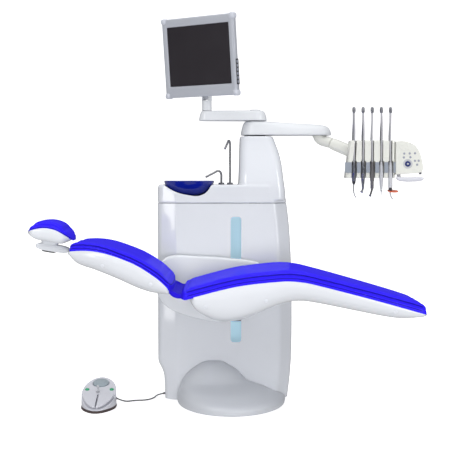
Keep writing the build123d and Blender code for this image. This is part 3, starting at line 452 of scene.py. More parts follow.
NODE_FINISH = {
    "base_plate": frame_paint, "base_cover": satin_grey, "column_cover": column_white,
               "rear_panel": column_white,
    "column_frame": frame_paint, "lift_motor": dark_plastic, "lift_screw": brushed, "slot_liner": liner,
    # tower_post takes the dark rubber finish so it shows as a dark band: painted shade of the gap under the
    # delivery arm.
    "upper_cover": column_white, "tower_post": rubber, "spittoon_bowl": cobalt, "bowl_strainer": brushed,
    "tap_collars": tap_steel, "bowl_rinse": tap_steel, "cup_filler": tap_steel, "lift_carriage": frame_paint,
    "side_shell": gloss_white, "seat_shell": gloss_white, "seat_cushion": vinyl, "seat_frame": white_paint,
    "recline_pin": white_paint, "back_frame": white_paint, "back_shell": gloss_white, "back_cushion": vinyl,
    "headrest_bar": chrome, "headrest_shell": gloss_white, "headrest_cushion": vinyl,
    "headrest_lever": dark_plastic, "monitor_arm": arm_paint, "monitor_post": arm_paint,
    "monitor_housing": monitor_grey, "monitor_screen": screen_black, "delivery_arm": arm_paint,
               "elbow": ivory,
    "balance_arm": ivory, "head_pivot": brushed, "head_block": ivory, "holder_pads": holder_blue,
    "control_panel": ivory, "head_handle": lilac, "foot_base": rim_brown, "foot_cover": lilac,
    "foot_dome": lilac, "foot_button_left": button_green, "foot_button_right": button_green,
    "foot_joystick": grip_white, "foot_pedal_left": lilac, "foot_pedal_right": lilac, "cable_glands": rubber,
    "foot_cable": cable_grey, "syringe": grip_steel, "turbine": grip_white, "micromotor": grip_white,
    "scaler": grip_white, "curing_light": grip_white,
}
for name, obj in nodes.items():
    for index in range(len(obj.material_slots)):
        obj.material_slots[index].material = NODE_FINISH.get(name, rod_grey)

# ---------------------------------------------------------------- cords

CABLE_ROUTE = [(-0.590, -0.262, 0.022), (-0.564, -0.256, 0.010), (-0.543, -0.239, 0.0036),
               (-0.520, -0.224, 0.0036), (-0.494, -0.214, 0.0036), (-0.466, -0.211, 0.0036),
               (-0.441, -0.197, 0.0036), (-0.425, -0.171, 0.0036), (-0.414, -0.142, 0.0036),
               (-0.408, -0.120, 0.0065), (-0.395, -0.106, 0.011), (-0.374, -0.101, 0.0145)]
CABLE_RADIUS = 0.0035
cable = put("foot_cable_cord", spline_curve("foot_cable_cord", CABLE_ROUTE, CABLE_RADIUS), cable_grey, "base",
            ["foot_cable"])

HOLDER_X = [0.587 + 0.0455 * place for place in range(5)]
WHIP_BOWS = [0.0015, 0.002, -0.002, 0.0018, -0.002]
TOOL_Y = -0.212
TOOL_TAIL = 1.200
HOSE_RADIUS = 0.0045

ROD_RADII = [0.0066, 0.0044, 0.0050, 0.0040, 0.0058]
for number, (place, bow, rod_radius) in enumerate(zip(HOLDER_X, WHIP_BOWS, ROD_RADII), start=1):
    body, node = f"whip_{number}", f"whip_arm_{number}"
    hose_route = [(place, -0.208, 1.4425), (place + bow, -0.213, 1.385), (place + bow * 1.5, -0.215, 1.330),
                  (place + bow * 0.4, -0.213, 1.265), (place, TOOL_Y, TOOL_TAIL + 0.0005)]
    hose = put(f"hose_{number}", spline_curve(f"hose_{number}", hose_route, HOSE_RADIUS), hose_grey, body,
               [node])
    rod_route = [(place, -0.178, 1.135), (place, -0.178, 1.22), (place, -0.178, 1.33), (place, -0.199, 1.40),
                 (place, -0.199, 1.446)]
    put(f"whip_rod_{number}", solid_tube(f"whip_rod_{number}", rod_route, rod_radius, rod_radius * 0.85),
        rod_grey, body, [node])
    knuckle = lathe("knuckle", (place - 0.006, -0.178, 1.130), (1, 0, 0),
                    [(0.0035, 0), (0.0062, 0), (0.007, 0.001), (0.007, 0.011), (0.0062, 0.012),
                     (0.0035, 0.012)])
    put(f"whip_knuckle_{number}", knuckle, rod_grey, body, [node])
    bulb = lathe("bulb", (place, -0.203, 1.443), UP,
                 [(0.004, 0), (0.0065, 0.001), (0.0078, 0.005), (0.0085, 0.012), (0.0085, 0.019),
                  (0.0076, 0.025),
                  (0.0055, 0.029), (0.0028, 0.0306)])
    put(f"whip_bulb_{number}", bulb, rod_grey, body, [node])

# ---------------------------------------------------------------- column

SHOULDER_X = -0.300
COLUMN_FRONT, COLUMN_BACK = -0.200, 0.200
CORNER_RADIUS, CORNER_CUT = 0.040, 0.034


def column_outline(z, left, right, inset=0.0):
    """The column's rounded outline at one height, its front left corner cut away."""
    front, back = COLUMN_FRONT + inset, COLUMN_BACK - inset
    left, right = left + inset, right - inset
    corners = [(SHOULDER_X + inset, front), (right - 0.065, front), (right, front + 0.075), (right, back),
               (left, back), (left, front + CORNER_CUT)]
    ring = []
    for index, corner in enumerate(corners):
        here = Vector((*corner, z))
        before = (Vector((*corners[index - 1], z)) - here).normalized()
        after = (Vector((*corners[(index + 1) % len(corners)], z)) - here).normalized()
        half = before.angle(after) / 2
        radius = CORNER_RADIUS - inset
        reach = radius / math.tan(half)
        start, end = here + before * reach, here + after * reach
        middle = here + (before + after).normalized() * radius / math.sin(half)
        for step in range(9):
            t = step / 8
            spoke = ((start - middle).normalized() * (1 - t) + (end - middle).normalized() * t).normalized()
            ring.append(middle + spoke * radius)
    return ring


SEAM_Z = 0.9936
deck_rings = []
for z, left, right, inset in ((SEAM_Z, -0.395, 0.257, 0.0030), (SEAM_Z + 0.002, -0.395, 0.257, 0.0010),
                              (SEAM_Z + 0.006, -0.395, 0.2565, 0), (1.042, -0.395, 0.248, 0),
                              (1.074, -0.394, 0.240, 0), (1.082, -0.393, 0.238, 0.002),
                              (1.086, -0.393, 0.237, 0.006), (1.087, -0.393, 0.236, 0.012)):
    deck_rings.append(column_outline(z, left, right, inset))

COLUMN_LEFT = [(-0.020, -0.3590), (0.090, -0.3620), (0.130, -0.3670), (0.155, -0.3760), (0.175, -0.3870),
               (0.190, -0.3935), (0.205, -0.3950), (1.020, -0.3950)]
COLUMN_RIGHT = [(-0.020, 0.2600), (0.090, 0.2740), (0.190, 0.2820), (0.300, 0.2850), (0.450, 0.2855),
                (0.640, 0.2830), (0.800, 0.2760), (0.900, 0.2680), (0.9925, 0.2570), (1.020, 0.2540)]


def column_skin(name, low, high, inset):
    """The column's outline drawn up from one height to another."""
    rings = []
    for step in range(61):
        z = low + (high - low) * step / 60
        rings.append(column_outline(z, curve_value(COLUMN_LEFT, z), curve_value(COLUMN_RIGHT, z), inset))
    return skin(name, rings)


slot_hole = [Vector((point.x, 0, point.y)) for point in rounded(Vector((0, 0.610, 0)), 0.052, 0.630, 0.016,
                                                                10)]
slot_cut = skin("slot_cut", [[point + Vector((0, y, 0)) for point in slot_hole] for y in (-0.25, -0.15)])
column_tube = cut(joined("column", [column_skin("outside", 0.003, 0.9925, 0)]),
                  [column_skin("inside", -0.010, 1.010, 0.004), slot_cut])
column = put("column_moulding", column_tube, column_white, "base", ["column_cover"])
column.data.set_sharp_from_angle(angle=math.radians(28))

TOWER_RINGS = [(1.010, 0.012, 0.2500, -0.199, 0.190), (1.050, 0.012, 0.2485, -0.1985, 0.180),
               (1.080, 0.013, 0.2450, -0.1955, 0.164), (1.105, 0.0148, 0.2412, -0.1900, 0.149),
               (1.130, 0.0156, 0.2385, -0.1820, 0.138), (1.160, 0.017, 0.2355, -0.1705, 0.127),
               (1.190, 0.0178, 0.2320, -0.1570, 0.118), (1.225, 0.0185, 0.2255, -0.1400, 0.110),
               (1.260, 0.019, 0.2160, -0.1220, 0.103), (1.300, 0.020, 0.2020, -0.1035, 0.096),
               (1.328, 0.021, 0.192, -0.0925, 0.092), (1.334, 0.025, 0.187, -0.0870, 0.088)]
tower_rings = []
for z, left, right, front, back in TOWER_RINGS:
    middle = Vector(((left + right) / 2, (front + back) / 2, z))
    tower_rings.append(rounded(middle, right - left, back - front, 0.050))

BOWL_CENTER = Vector((-0.238, -0.085, 0))
BOWL_RINGS = [(1.024, 0.100, 0.090, 0.040), (1.045, 0.186, 0.166, 0.078), (1.075, 0.236, 0.214, 0.098),
              (1.105, 0.256, 0.236, 0.110)]


def bowl_ring(z, grow):
    """The bowl's outline at one height, grown on every side."""
    width = curve_value(column_of(BOWL_RINGS, 1), z)
    depth = curve_value(column_of(BOWL_RINGS, 2), z)
    corner = curve_value(column_of(BOWL_RINGS, 3), z)
    return rounded(BOWL_CENTER + Vector((0, 0, z)), width + 2 * grow, depth + 2 * grow, corner + grow)


bowl_cut = skin("bowl_cut", [[point - UP * 0.006 for point in bowl_ring(1.024 + 0.004 * step, 0.003)]
                             for step in range(21)] + [[point + UP * 0.03 for point in bowl_ring(1.104,
                                 0.003)]])
scoop_edge = [(-0.368, 1.092), (-0.345, 1.074), (-0.310, 1.054), (-0.275, 1.042), (-0.240, 1.035),
              (-0.200, 1.030),
              (-0.167, 1.037), (-0.143, 1.054), (-0.125, 1.0810), (-0.112, 1.092)]
scoop_ring = [Vector((x, 0, curve_value(scoop_edge, x)))
              for x in [-0.368 + 0.256 * step / 40 for step in range(41)]]
scoop_ring += [Vector((-0.112, 0, 1.120)), Vector((-0.368, 0, 1.120))]
scoop_cut = skin("scoop_cut", [[point + Vector((0, y, 0)) for point in scoop_ring] for y in (-0.26, -0.10)])
upper_solid = cut(joined("upper", [skin("deck", deck_rings)]), [bowl_cut, scoop_cut])
moulded("upper_moulding", [upper_solid, skin("tower", tower_rings)], 0.004, 5, column_white, "base",
        ["upper_cover"])

bowl_rings = [bowl_ring(1.024 + 0.003 * step, 0) for step in range(28)]
bowl_rings += [bowl_ring(1.105, 0), [point + UP * 0.0015 for point in bowl_ring(1.105, -0.0015)],
               [point + UP * 0.0015 for point in bowl_ring(1.105, -0.0035)], bowl_ring(1.1045, -0.005)]
bowl_rings += [[point + UP * 0.005 for point in bowl_ring(1.102 - 0.003 * step,
                                                          -0.005)] for step in range(26)]
put("spittoon", skin("spittoon", bowl_rings), cobalt, "base", ["spittoon_bowl"])

liner_rings = []
for z, trim in ((0.2355, 0.003), (0.2360, 0.001), (0.2400, 0.0), (0.9350, 0.0), (0.9390, 0.001),
                (0.9398, 0.003)):
    half = 0.048 - trim
    liner_rings.append([Vector((x, y, z)) for x, y in (
        (-half, -0.0105), (-half, -0.0135), (-half + 0.001, -0.0142), (-0.020, -0.0138), (0.0, -0.0130),
        (0.020, -0.0138), (half - 0.001, -0.0142), (half, -0.0135), (half, -0.0105), (0.0, -0.0100))])
# The strip carries the glowing lining: painted light inside the slot.
put("slot_strip", skin("slot_strip", liner_rings), liner, "base", ["slot_liner"])


def tap(name, foot, top, reach, drop):
    """A bent tap: x of its foot, height of its bend, how far its spout reaches and falls."""
    rows = ((0, 1.094), (0, (1.094 + top) / 2), (0, top - 0.022), (0.03, top - 0.010), (0.14, top - 0.001),
            (0.30, top - 0.001), (0.44, top - 0.008), (1, top - drop))
    spout = [Vector((foot + reach[0] * share, reach[1] * share, height)) for share, height in rows]
    put(f"{name}_tube", solid_tube(name, spout, 0.0056), tap_steel, name, [name])


tap("bowl_rinse", -0.074, 1.157, (-0.080, -0.020), 0.031)
tap("cup_filler", -0.029, 1.313, (-0.026, -0.075), 0.043)

# ---------------------------------------------------------------- base hill

BASE_REAR = -0.204
BASE_RINGS = [(0.002, -0.024, 0.266, 0.364), (0.006, -0.024, 0.269, 0.367), (0.028, -0.025, 0.270, 0.368),
              (0.042, -0.035, 0.258, 0.356), (0.052, -0.050, 0.240, 0.335), (0.064, -0.060, 0.224, 0.305),
              (0.080, -0.0745, 0.2055, 0.262), (0.097, -0.0985, 0.1735, 0.190), (0.112, -0.108, 0.158, 0.150),
              (0.158, -0.1105, 0.1145, 0.105), (0.190, -0.1125, 0.065, 0.066), (0.200, -0.110, 0.044, 0.042),
              (0.204, -0.108, 0.020, 0.018)]
hill_heights = [row[0] for row in BASE_RINGS]
hill_rings = []
for low, high in zip(hill_heights, hill_heights[1:]):
    for part in range(4):
        z = low + (high - low) * part / 4
        middle = curve_value(column_of(BASE_RINGS, 1), z)
        half_width = curve_value(column_of(BASE_RINGS, 2), z)
        half_depth = curve_value(column_of(BASE_RINGS, 3), z)
        ring = []
        for step in range(73):
            angle = math.pi + math.pi * step / 72
            ring.append(Vector((middle + half_width * math.cos(angle),
                                BASE_REAR + half_depth * math.sin(angle), z)))
        hill_rings.append(ring)
put("base_hill", skin("base_hill", hill_rings), satin_grey, "base", ["base_cover"])

# ---------------------------------------------------------------- chair

CHAIR_Y = -0.560
SEAT_TOP = [(-0.222, 0.628), (-0.100, 0.662), (0, 0.686), (0.100, 0.700), (0.200, 0.709), (0.260, 0.707),
            (0.320, 0.697), (0.600, 0.622), (0.800, 0.563), (0.864, 0.538)]
SEAT_RIM = [(-0.222, 0.588), (0, 0.643), (0.200, 0.666), (0.260, 0.664), (0.320, 0.655), (0.600, 0.580),
            (0.866, 0.502)]
SEAT_BOTTOM = [(-0.218, 0.560), (-0.176, 0.513), (-0.094, 0.468), (-0.020, 0.466), (0.042, 0.480),
               (0.181, 0.541),
               (0.250, 0.559), (0.327, 0.557), (0.542, 0.514), (0.671, 0.488), (0.757, 0.479), (0.868, 0.492)]
SEAT_HALF = [(-0.240, 0.280), (0.300, 0.280), (0.868, 0.190)]
BACK_TOP = [(-0.290, 0.640), (-0.313, 0.668), (-0.363, 0.713), (-0.443, 0.762), (-0.520, 0.794),
            (-0.589, 0.817),
            (-0.650, 0.828), (-0.710, 0.829), (-0.745, 0.823), (-0.764, 0.815)]
BACK_RIM = [(-0.296, 0.610), (-0.320, 0.642), (-0.363, 0.680), (-0.443, 0.732), (-0.520, 0.765),
            (-0.589, 0.786),
            (-0.650, 0.795), (-0.710, 0.795), (-0.766, 0.789)]
BACK_BOTTOM = [(-0.292, 0.591), (-0.381, 0.597), (-0.443, 0.615), (-0.544, 0.660), (-0.640, 0.698),
               (-0.724, 0.728), (-0.756, 0.764)]
BACK_HALF = [(-0.270, 0.250), (-0.560, 0.250), (-0.772, 0.180)]
HEAD_TOP = [(-0.966, 0.880), (-0.925, 0.913), (-0.870, 0.925), (-0.815, 0.912), (-0.773, 0.876),
            (-0.752, 0.848)]
HEAD_RIM = [(-0.962, 0.870), (-0.934, 0.882), (-0.879, 0.892), (-0.824, 0.883), (-0.779, 0.857),
            (-0.757, 0.836)]
HEAD_BOTTOM = [(-0.956, 0.860), (-0.917, 0.838), (-0.868, 0.828), (-0.807, 0.817), (-0.763, 0.828)]
HEAD_HALF = [(-0.970, 0.140), (-0.750, 0.140)]


def end_share(x, start, end, end_round, squareness=2.6):
    """The share of its full size that a hull keeps at x, less near its rounded ends."""
    near_end = min(1.0, max(0.0, 1 - min(x - start, end - x) / end_round))
    return max(0.02, (1 - near_end**squareness) ** (1 / squareness))


def hull(name, start, end, upper, split, lower, half, crown, keel, end_round, count=64, stations=72,
         grow=0.0):
    """A moulded body along X: superellipse sections between an upper and a lower curve of the side view."""
    rings = []
    for station in range(stations + 1):
        t = 0.5 - 0.5 * math.cos(math.pi * station / stations)
        x = start + (end - start) * t
        shrink = end_share(x, start, end, end_round)
        middle = curve_value(split, x)
        width = (curve_value(half, x) + grow) * shrink
        rise = (curve_value(upper, x) - middle + grow) * shrink
        drop = (middle - curve_value(lower, x) + grow) * shrink
        ring = []
        for step in range(count):
            angle = 2 * math.pi * step / count
            y = width * power(math.cos(angle), 2 / (crown if math.sin(angle) >= 0 else keel))
            z = rise * power(math.sin(angle), 2 / crown) if math.sin(angle) >= 0 else (
                drop * power(math.sin(angle), 2 / keel))
            ring.append(Vector((x, CHAIR_Y + y, middle + z)))
        rings.append(ring)
    return skin(name, rings)


def shell(name, start, end, rim, lower, half, end_round, body, node, keel=3.2):
    """A white moulded shell under a cushion."""
    lowered = [(x, z - 0.0015) for x, z in rim]
    mesh = hull(name, start, end, lowered, lowered, lower, half, 6.0, keel, end_round)
    return put(name, mesh, gloss_white, body, [node])


seat_shell = shell("seat_moulding", -0.222, 0.868, SEAT_RIM, SEAT_BOTTOM, SEAT_HALF, 0.040, "chair",
                   "seat_shell", 3.4)
back_shell = shell("back_moulding", -0.772, -0.292, BACK_RIM, BACK_BOTTOM, BACK_HALF, 0.026, "back",
                   "back_shell", 3.4)
head_shell_mesh = hull("head_tray", -0.962, -0.757, HEAD_RIM, HEAD_RIM, HEAD_BOTTOM, HEAD_HALF, 6.0, 4.6,
                       0.050)


def cushion(name, node, body, start, end, upper, rim, half, end_round, voxel, limit, crown=7.0,
            channel=0.006):
    """A padded cushion: a crowned solid blown up by cloth pressure, seated flat on its shell."""
    lower = [(x, z - 0.007) for x, z in rim]
    obj = put(name, hull(name, start, end, upper, lower, lower, half, crown, 8.0, end_round, count=96,
                         stations=110, grow=-0.0012), None, None)
    remeshed(obj, voxel, 4)
    rest = [vertex.co.copy() for vertex in obj.data.vertices]
    cloth = obj.modifiers.new("filling", "CLOTH")
    cloth.settings.use_pressure = True
    cloth.settings.uniform_pressure_force = 4
    cloth.settings.effector_weights.gravity = 0
    cloth.settings.quality = 4
    cloth.collision_settings.use_collision = False
    for number in range(1, 21):
        scene.frame_set(number)
    baked(obj)
    scene.frame_set(1)
    for vertex, origin in zip(obj.data.vertices, rest):
        move = vertex.co - origin
        above = (origin.z - curve_value(lower, origin.x) - 0.005) / 0.016
        hold = min(1.0, max(0.0, above))
        if move.length > limit:
            move = move * (limit / move.length)
        vertex.co = origin + move * hold
    for vertex in obj.data.vertices:
        place = vertex.co
        side = 1 if place.y > CHAIR_Y else -1
        edge = min(curve_value(half, place.x) - abs(place.y - CHAIR_Y), place.x - start, end - place.x)
        top, foot = curve_value(upper, place.x), curve_value(rim, place.x)
        level = (place.z - foot) / max(0.01, top - foot)
        if level > 0.72:
            place.z -= channel * math.exp(-((edge - 0.032) / 0.0065)**2)
        if edge < 0.020:
            place.y -= side * 1.5 * channel * math.exp(-((level - 0.42) / 0.15)**2)
    tag(painted(divided(obj, 1), vinyl), body, [node])
    obj.visible_diffuse = False
    return obj


SEAT_START = -0.258
PAD_TOP = [(SEAT_START, 0.6150)] + SEAT_TOP
PAD_RIM = [(SEAT_START, 0.5810)] + SEAT_RIM
seat_pad = cushion("seat_pad", "seat_cushion", "chair", SEAT_START, 0.866, PAD_TOP, PAD_RIM, SEAT_HALF, 0.030,
                   0.006, 0.004)
back_pad = cushion("back_pad", "back_cushion", "back", -0.764, -0.289, BACK_TOP, BACK_RIM, BACK_HALF, 0.024,
                   0.006, 0.004)
head_pad = cushion("head_pad", "headrest_cushion", "headrest", -0.964, -0.753, HEAD_TOP, HEAD_RIM, HEAD_HALF,
                   0.060, 0.005, 0.003, 3.4)


def welt(name, pad, body, start, end, upper, half, inset, drop, end_round, radius=0.0028):
    """A welt sewn round the top edge of a cushion, lying on its surface; thin ones laid in the side grooves
    are dark lines of painted shade.
    """
    tree = tree_of(pad)
    line = []
    for side in (-1, 1):
        for step in range(61):
            t = step / 60 if side < 0 else 1 - step / 60
            x = start + inset + (end - start - 2 * inset) * t
            shrink = end_share(x, start, end, end_round)
            target = Vector((x, CHAIR_Y + side * curve_value(half, x) * shrink, curve_value(upper, x) - drop))
            found = tree.find_nearest(target)
            line.append(found[0] + found[1] * radius * 0.15)
    data, spline = nurbs(name, line, radius, 4, 4)
    spline.use_cyclic_u = True
    return put(name, data, piping_and_groove_shade_vinyl, body, [])


# The two thinner lines lie in the cushions' side grooves: dark lines of painted shade for the grooves, not
# stitching.
welt("seat_groove_shade", seat_pad, "chair", SEAT_START, 0.866, PAD_TOP, SEAT_HALF, 0.004, 0.0245, 0.030, 0.0018)
welt("back_groove_shade", back_pad, "back", -0.764, -0.289, BACK_TOP, BACK_HALF, 0.004, 0.0185, 0.024, 0.0018)
welt("seat_welt", seat_pad, "chair", SEAT_START, 0.866, PAD_TOP, SEAT_HALF, 0.004, 0.007, 0.030)
welt("back_welt", back_pad, "back", -0.764, -0.289, BACK_TOP, BACK_HALF, 0.004, 0.006, 0.024)
welt("head_welt", head_pad, "headrest", -0.964, -0.753, HEAD_RIM, HEAD_HALF, 0.004, -0.006, 0.060, 0.0016)

# the upholstery's fold between the back and the seat, in a darker copy of the vinyl: painted shade of the
# crease
fold_rings = []
for y, size in ((-0.236, 0.55), (-0.232, 0.85), (-0.222, 1.0), (-0.12, 1.0), (0.0, 1.0), (0.12, 1.0),
                (0.222, 1.0),
                (0.232, 0.85), (0.236, 0.55)):
    section = []
    for x, z in ((-0.310, 0.626), (-0.300, 0.622), (-0.288, 0.610), (-0.274, 0.6030), (-0.260, 0.6010),
                 (-0.246, 0.6010), (-0.232, 0.6020), (-0.218, 0.6040), (-0.206, 0.6010), (-0.206, 0.5930),
                 (-0.222, 0.5860), (-0.244, 0.5810), (-0.266, 0.5800), (-0.286, 0.5860), (-0.304, 0.6000),
                 (-0.311, 0.6140)):
        middle = Vector((-0.258, CHAIR_Y + y, 0.606))
        section.append(middle + Vector((x + 0.258, 0, z - 0.606)) * size)
    fold_rings.append(section)
fold = put("seat_fold", skin("seat_fold", fold_rings), shaded_fold_vinyl, None)
divided(fold, 3)
fold.visible_diffuse = False
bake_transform(fold)

# the far side shell, between the chair and the column
side_top = [(-0.390, 0.640), (-0.372, 0.706), (-0.318, 0.736), (-0.200, 0.734), (-0.025, 0.723),
            (0.110, 0.704),
            (0.128, 0.680)]
side_low = [(-0.390, 0.540), (-0.360, 0.494), (-0.284, 0.450), (-0.156, 0.414), (-0.060, 0.405),
            (0.060, 0.440),
            (0.128, 0.520)]
side_rings = []
for y, inset in ((-0.2745, 0.014), (-0.2735, 0.008), (-0.270, 0.003), (-0.262, 0.0), (-0.222, 0.0),
                 (-0.216, 0.003),
                 (-0.2125, 0.008), (-0.212, 0.014)):
    ring = []
    for step in range(41):
        t = step / 40
        x = -0.390 + inset + (0.518 - 2 * inset) * (0.5 - 0.5 * math.cos(math.pi * t))
        ring.append(Vector((x, y, curve_value(side_top, x) - inset)))
    for step in range(41):
        t = 1 - step / 40
        x = -0.390 + inset + (0.518 - 2 * inset) * (0.5 - 0.5 * math.cos(math.pi * t))
        ring.append(Vector((x, y, curve_value(side_low, x) + inset)))
    side_rings.append(ring)
side_solid = skin("side_solid", side_rings)
moulded("side_moulding", [side_solid], 0.005, 6, gloss_white, "chair", ["side_shell"])

# headrest tray and its bracket
HEAD_SLOPE = math.radians(9.2)
BAR_ALONG = Vector((math.cos(HEAD_SLOPE), 0, -math.sin(HEAD_SLOPE)))
BAR_UP = Vector((math.sin(HEAD_SLOPE), 0, math.cos(HEAD_SLOPE)))
HEAD_PIVOT = Vector((-0.797, CHAIR_Y, 0.785))
put("head_tray", head_shell_mesh, gloss_white, "headrest", ["headrest_shell"])
bracket_rings = sized_ovals(HEAD_PIVOT - BAR_ALONG * 0.060, Y_AXIS, BAR_ALONG, BAR_UP, 0.077, 0.017,
                            ((-0.029, 0.86), (-0.027, 0.95), (-0.022, 1.0), (0.022, 1.0), (0.027, 0.95),
                             (0.029, 0.86)), 3.2, 64)
put("head_bracket", skin("head_bracket", bracket_rings), gloss_white, "headrest", ["headrest_shell"])
yoke_rings = []
for z, half_x, half_y in ((0.800, 0.034, 0.027), (0.812, 0.036, 0.029), (0.834, 0.042, 0.036)):
    yoke_rings.append(oval(Vector((-0.868, CHAIR_Y, z)), X_AXIS, Y_AXIS, half_x, half_y, 3.5))
put("head_yoke", skin("head_yoke", yoke_rings), gloss_white, "headrest", ["headrest_shell"])
lever_rings = sized_ovals(HEAD_PIVOT - BAR_ALONG * 0.076 - BAR_UP * 0.0195, Y_AXIS, BAR_ALONG, BAR_UP,
                          0.032, 0.004, ((-0.015, 0.8), (-0.013, 1.0), (0.013, 1.0), (0.015, 0.8)), 2.6)
put("headrest_paddle", skin("headrest_paddle", lever_rings), dark_plastic, "headrest_lever",
    ["headrest_lever"])

# screw caps on the shells: (x, z) on the near side
for number, (pad_shell, body, x, z) in enumerate((
        (seat_shell, "chair", -0.142, 0.550), (seat_shell, "chair", 0.125, 0.578),
        (seat_shell, "chair", 0.706, 0.522), (back_shell, "back", -0.598, 0.729),
        (back_shell, "back", -0.385, 0.648)), start=1):
    hit = tree_of(pad_shell).ray_cast(Vector((x, -1.2, z)), Y_AXIS)
    if hit[0] is not None:
        cap = lathe("cap", hit[0] - hit[1] * 0.002, hit[1],
                    [(0.004, 0), (0.0085, 0), (0.009, 0.0015), (0.0088, 0.0032), (0.0078, 0.0042),
                     (0.004, 0.0046)])
        put(f"screw_cap_{number}", cap, plastic_cap, body, [])

# ---------------------------------------------------------------- monitor

YAW, TILT = math.radians(33), math.radians(6)
PANEL_RIGHT = Vector((math.cos(YAW), -math.sin(YAW), 0))
PANEL_FRONT = Vector((-math.sin(YAW) * math.cos(TILT), -math.cos(YAW) * math.cos(TILT), -math.sin(TILT)))
PANEL_UP = PANEL_FRONT.cross(PANEL_RIGHT)
TILT_PIVOT = Vector((-0.149, 0, 1.536))
PANEL_CENTER = TILT_PIVOT + PANEL_FRONT * 0.034 + PANEL_UP * 0.209


def on_panel(right, up, forward):
    """A point of the monitor, from the middle of its housing."""
    return PANEL_CENTER + PANEL_RIGHT * right + PANEL_UP * up + PANEL_FRONT * forward


def panel_ring(forward, width, height, corner, right=0.0, up=0.0, count=10):
    """A rounded rectangle parallel to the screen."""
    flat = rounded(Vector((right, up, 0)), width, height, corner, count)
    return [on_panel(point.x, point.y, forward) for point in flat]


frame_rings = [panel_ring(-0.020, 0.400, 0.365, 0.020), panel_ring(-0.019, 0.412, 0.377, 0.022),
               panel_ring(-0.008, 0.436, 0.401, 0.024), panel_ring(-0.004, 0.440, 0.405, 0.024),
               panel_ring(0.014, 0.440, 0.405, 0.024), panel_ring(0.0175, 0.437, 0.402, 0.023),
               panel_ring(0.0195, 0.430, 0.395, 0.020), panel_ring(0.020, 0.426, 0.391, 0.018),
               panel_ring(0.020, 0.386, 0.311, 0.006, 0, 0.008),
               panel_ring(0.0192, 0.3815, 0.3065, 0.005, 0, 0.008),
               panel_ring(0.012, 0.3772, 0.3022, 0.003, 0, 0.008),
               panel_ring(-0.0105, 0.377, 0.302, 0.003, 0, 0.008)]
put("monitor_frame", skin("monitor_frame", frame_rings), monitor_grey, "monitor", ["monitor_housing"])
bracket = []
for forward, width, height in ((-0.019, 0.080, 0.060), (-0.030, 0.070, 0.052), (-0.046, 0.060, 0.044)):
    bracket.append(panel_ring(forward, width, height, 0.010, 0, -0.163))
put("monitor_bracket", skin("monitor_bracket", bracket), monitor_grey, "monitor", ["monitor_housing"])
lug = []
for forward, size in ((-0.0235, 0.90), (-0.0250, 1.0), (-0.0445, 1.0), (-0.0460, 0.90)):
    lug.append(panel_ring(forward, 0.0258 * size, 0.048 * size, 0.006, 0, -0.196))
put("monitor_lug", skin("monitor_lug", lug), monitor_grey, "monitor", ["monitor_housing"])
for side in (-1, 1):
    for level in (-1, 1):
        rings = []
        for forward, size in ((-0.012, 0.86), (-0.009, 0.96), (-0.004, 1.0), (0.014, 1.0), (0.0185, 0.97),
                              (0.0212, 0.90)):
            rings.append(panel_ring(forward, 0.031 * size, 0.031 * size, 0.011 * size, side * 0.2085,
                                    level * 0.191))
        put(f"monitor_bumper_{'left' if side < 0 else 'right'}_{'low' if level < 0 else 'high'}",
            skin("bumper", rings), bumper_grey, "monitor", ["monitor_housing"])
key_rings = []
for right in (0.2185, 0.2206, 0.2210):
    shrink = 1.0 if right < 0.2206 else 0.94
    key_rings.append([on_panel(right, -0.087 + point.x * shrink, 0.003 + point.y * shrink)
                      for point in rounded(Vector((0, 0, 0)), 0.134, 0.026, 0.004)])
put("monitor_key_strip", skin("monitor_key_strip", key_rings), dark_plastic, "monitor", ["monitor_housing"])
for number in range(6):
    button = []
    for right, size in ((0.2205, 1.0), (0.2217, 1.0), (0.2221, 0.8)):
        button.append([on_panel(right, -0.087 - 0.050 + 0.020 * number + point.x, 0.003 + point.y)
                       for point in rounded(Vector((0, 0, 0)), 0.013 * size, 0.013 * size, 0.003)])
    put(f"monitor_key_{number + 1}", skin("key", button), key_grey, "monitor", ["monitor_housing"])


def arm_ring(z, left_x, left_radius, right_x, right_radius, count=24):
    """The outline round two circles of an arm, at one height."""
    ring = []
    for x, radius, start in ((right_x, right_radius, -90), (left_x, left_radius, 90)):
        for step in range(count):
            angle = math.radians(start + 180 * step / (count - 1))
            ring.append(Vector((x + radius * math.cos(angle), radius * math.sin(angle), z)))
    return ring


MONITOR_X, POST_X, ELBOW_X = -0.149, 0.100, 0.434
monitor_arm_rings = [arm_ring(*row) for row in (
    (1.4155, MONITOR_X, 0.040, POST_X, 0.060), (1.4175, MONITOR_X, 0.0420, POST_X, 0.062),
    (1.430, MONITOR_X, 0.0395, POST_X, 0.0605), (1.448, MONITOR_X, 0.0355, POST_X, 0.056),
    (1.458, MONITOR_X, 0.0325, POST_X, 0.052), (1.465, MONITOR_X, 0.0285, POST_X, 0.046),
    (1.468, MONITOR_X, 0.0230, POST_X, 0.040))]
arm_cap = lathe("arm_cap", (POST_X, 0, 1.464), UP,
                [(0.028, 0), (0.028, 0.007), (0.0262, 0.0092), (0.020, 0.010)])
moulded("monitor_arm_moulding", [skin("monitor_arm_body", monitor_arm_rings), arm_cap], 0.0028, 5, arm_paint,
        "monitor_arm", ["monitor_arm"])

# ---------------------------------------------------------------- delivery arm and head

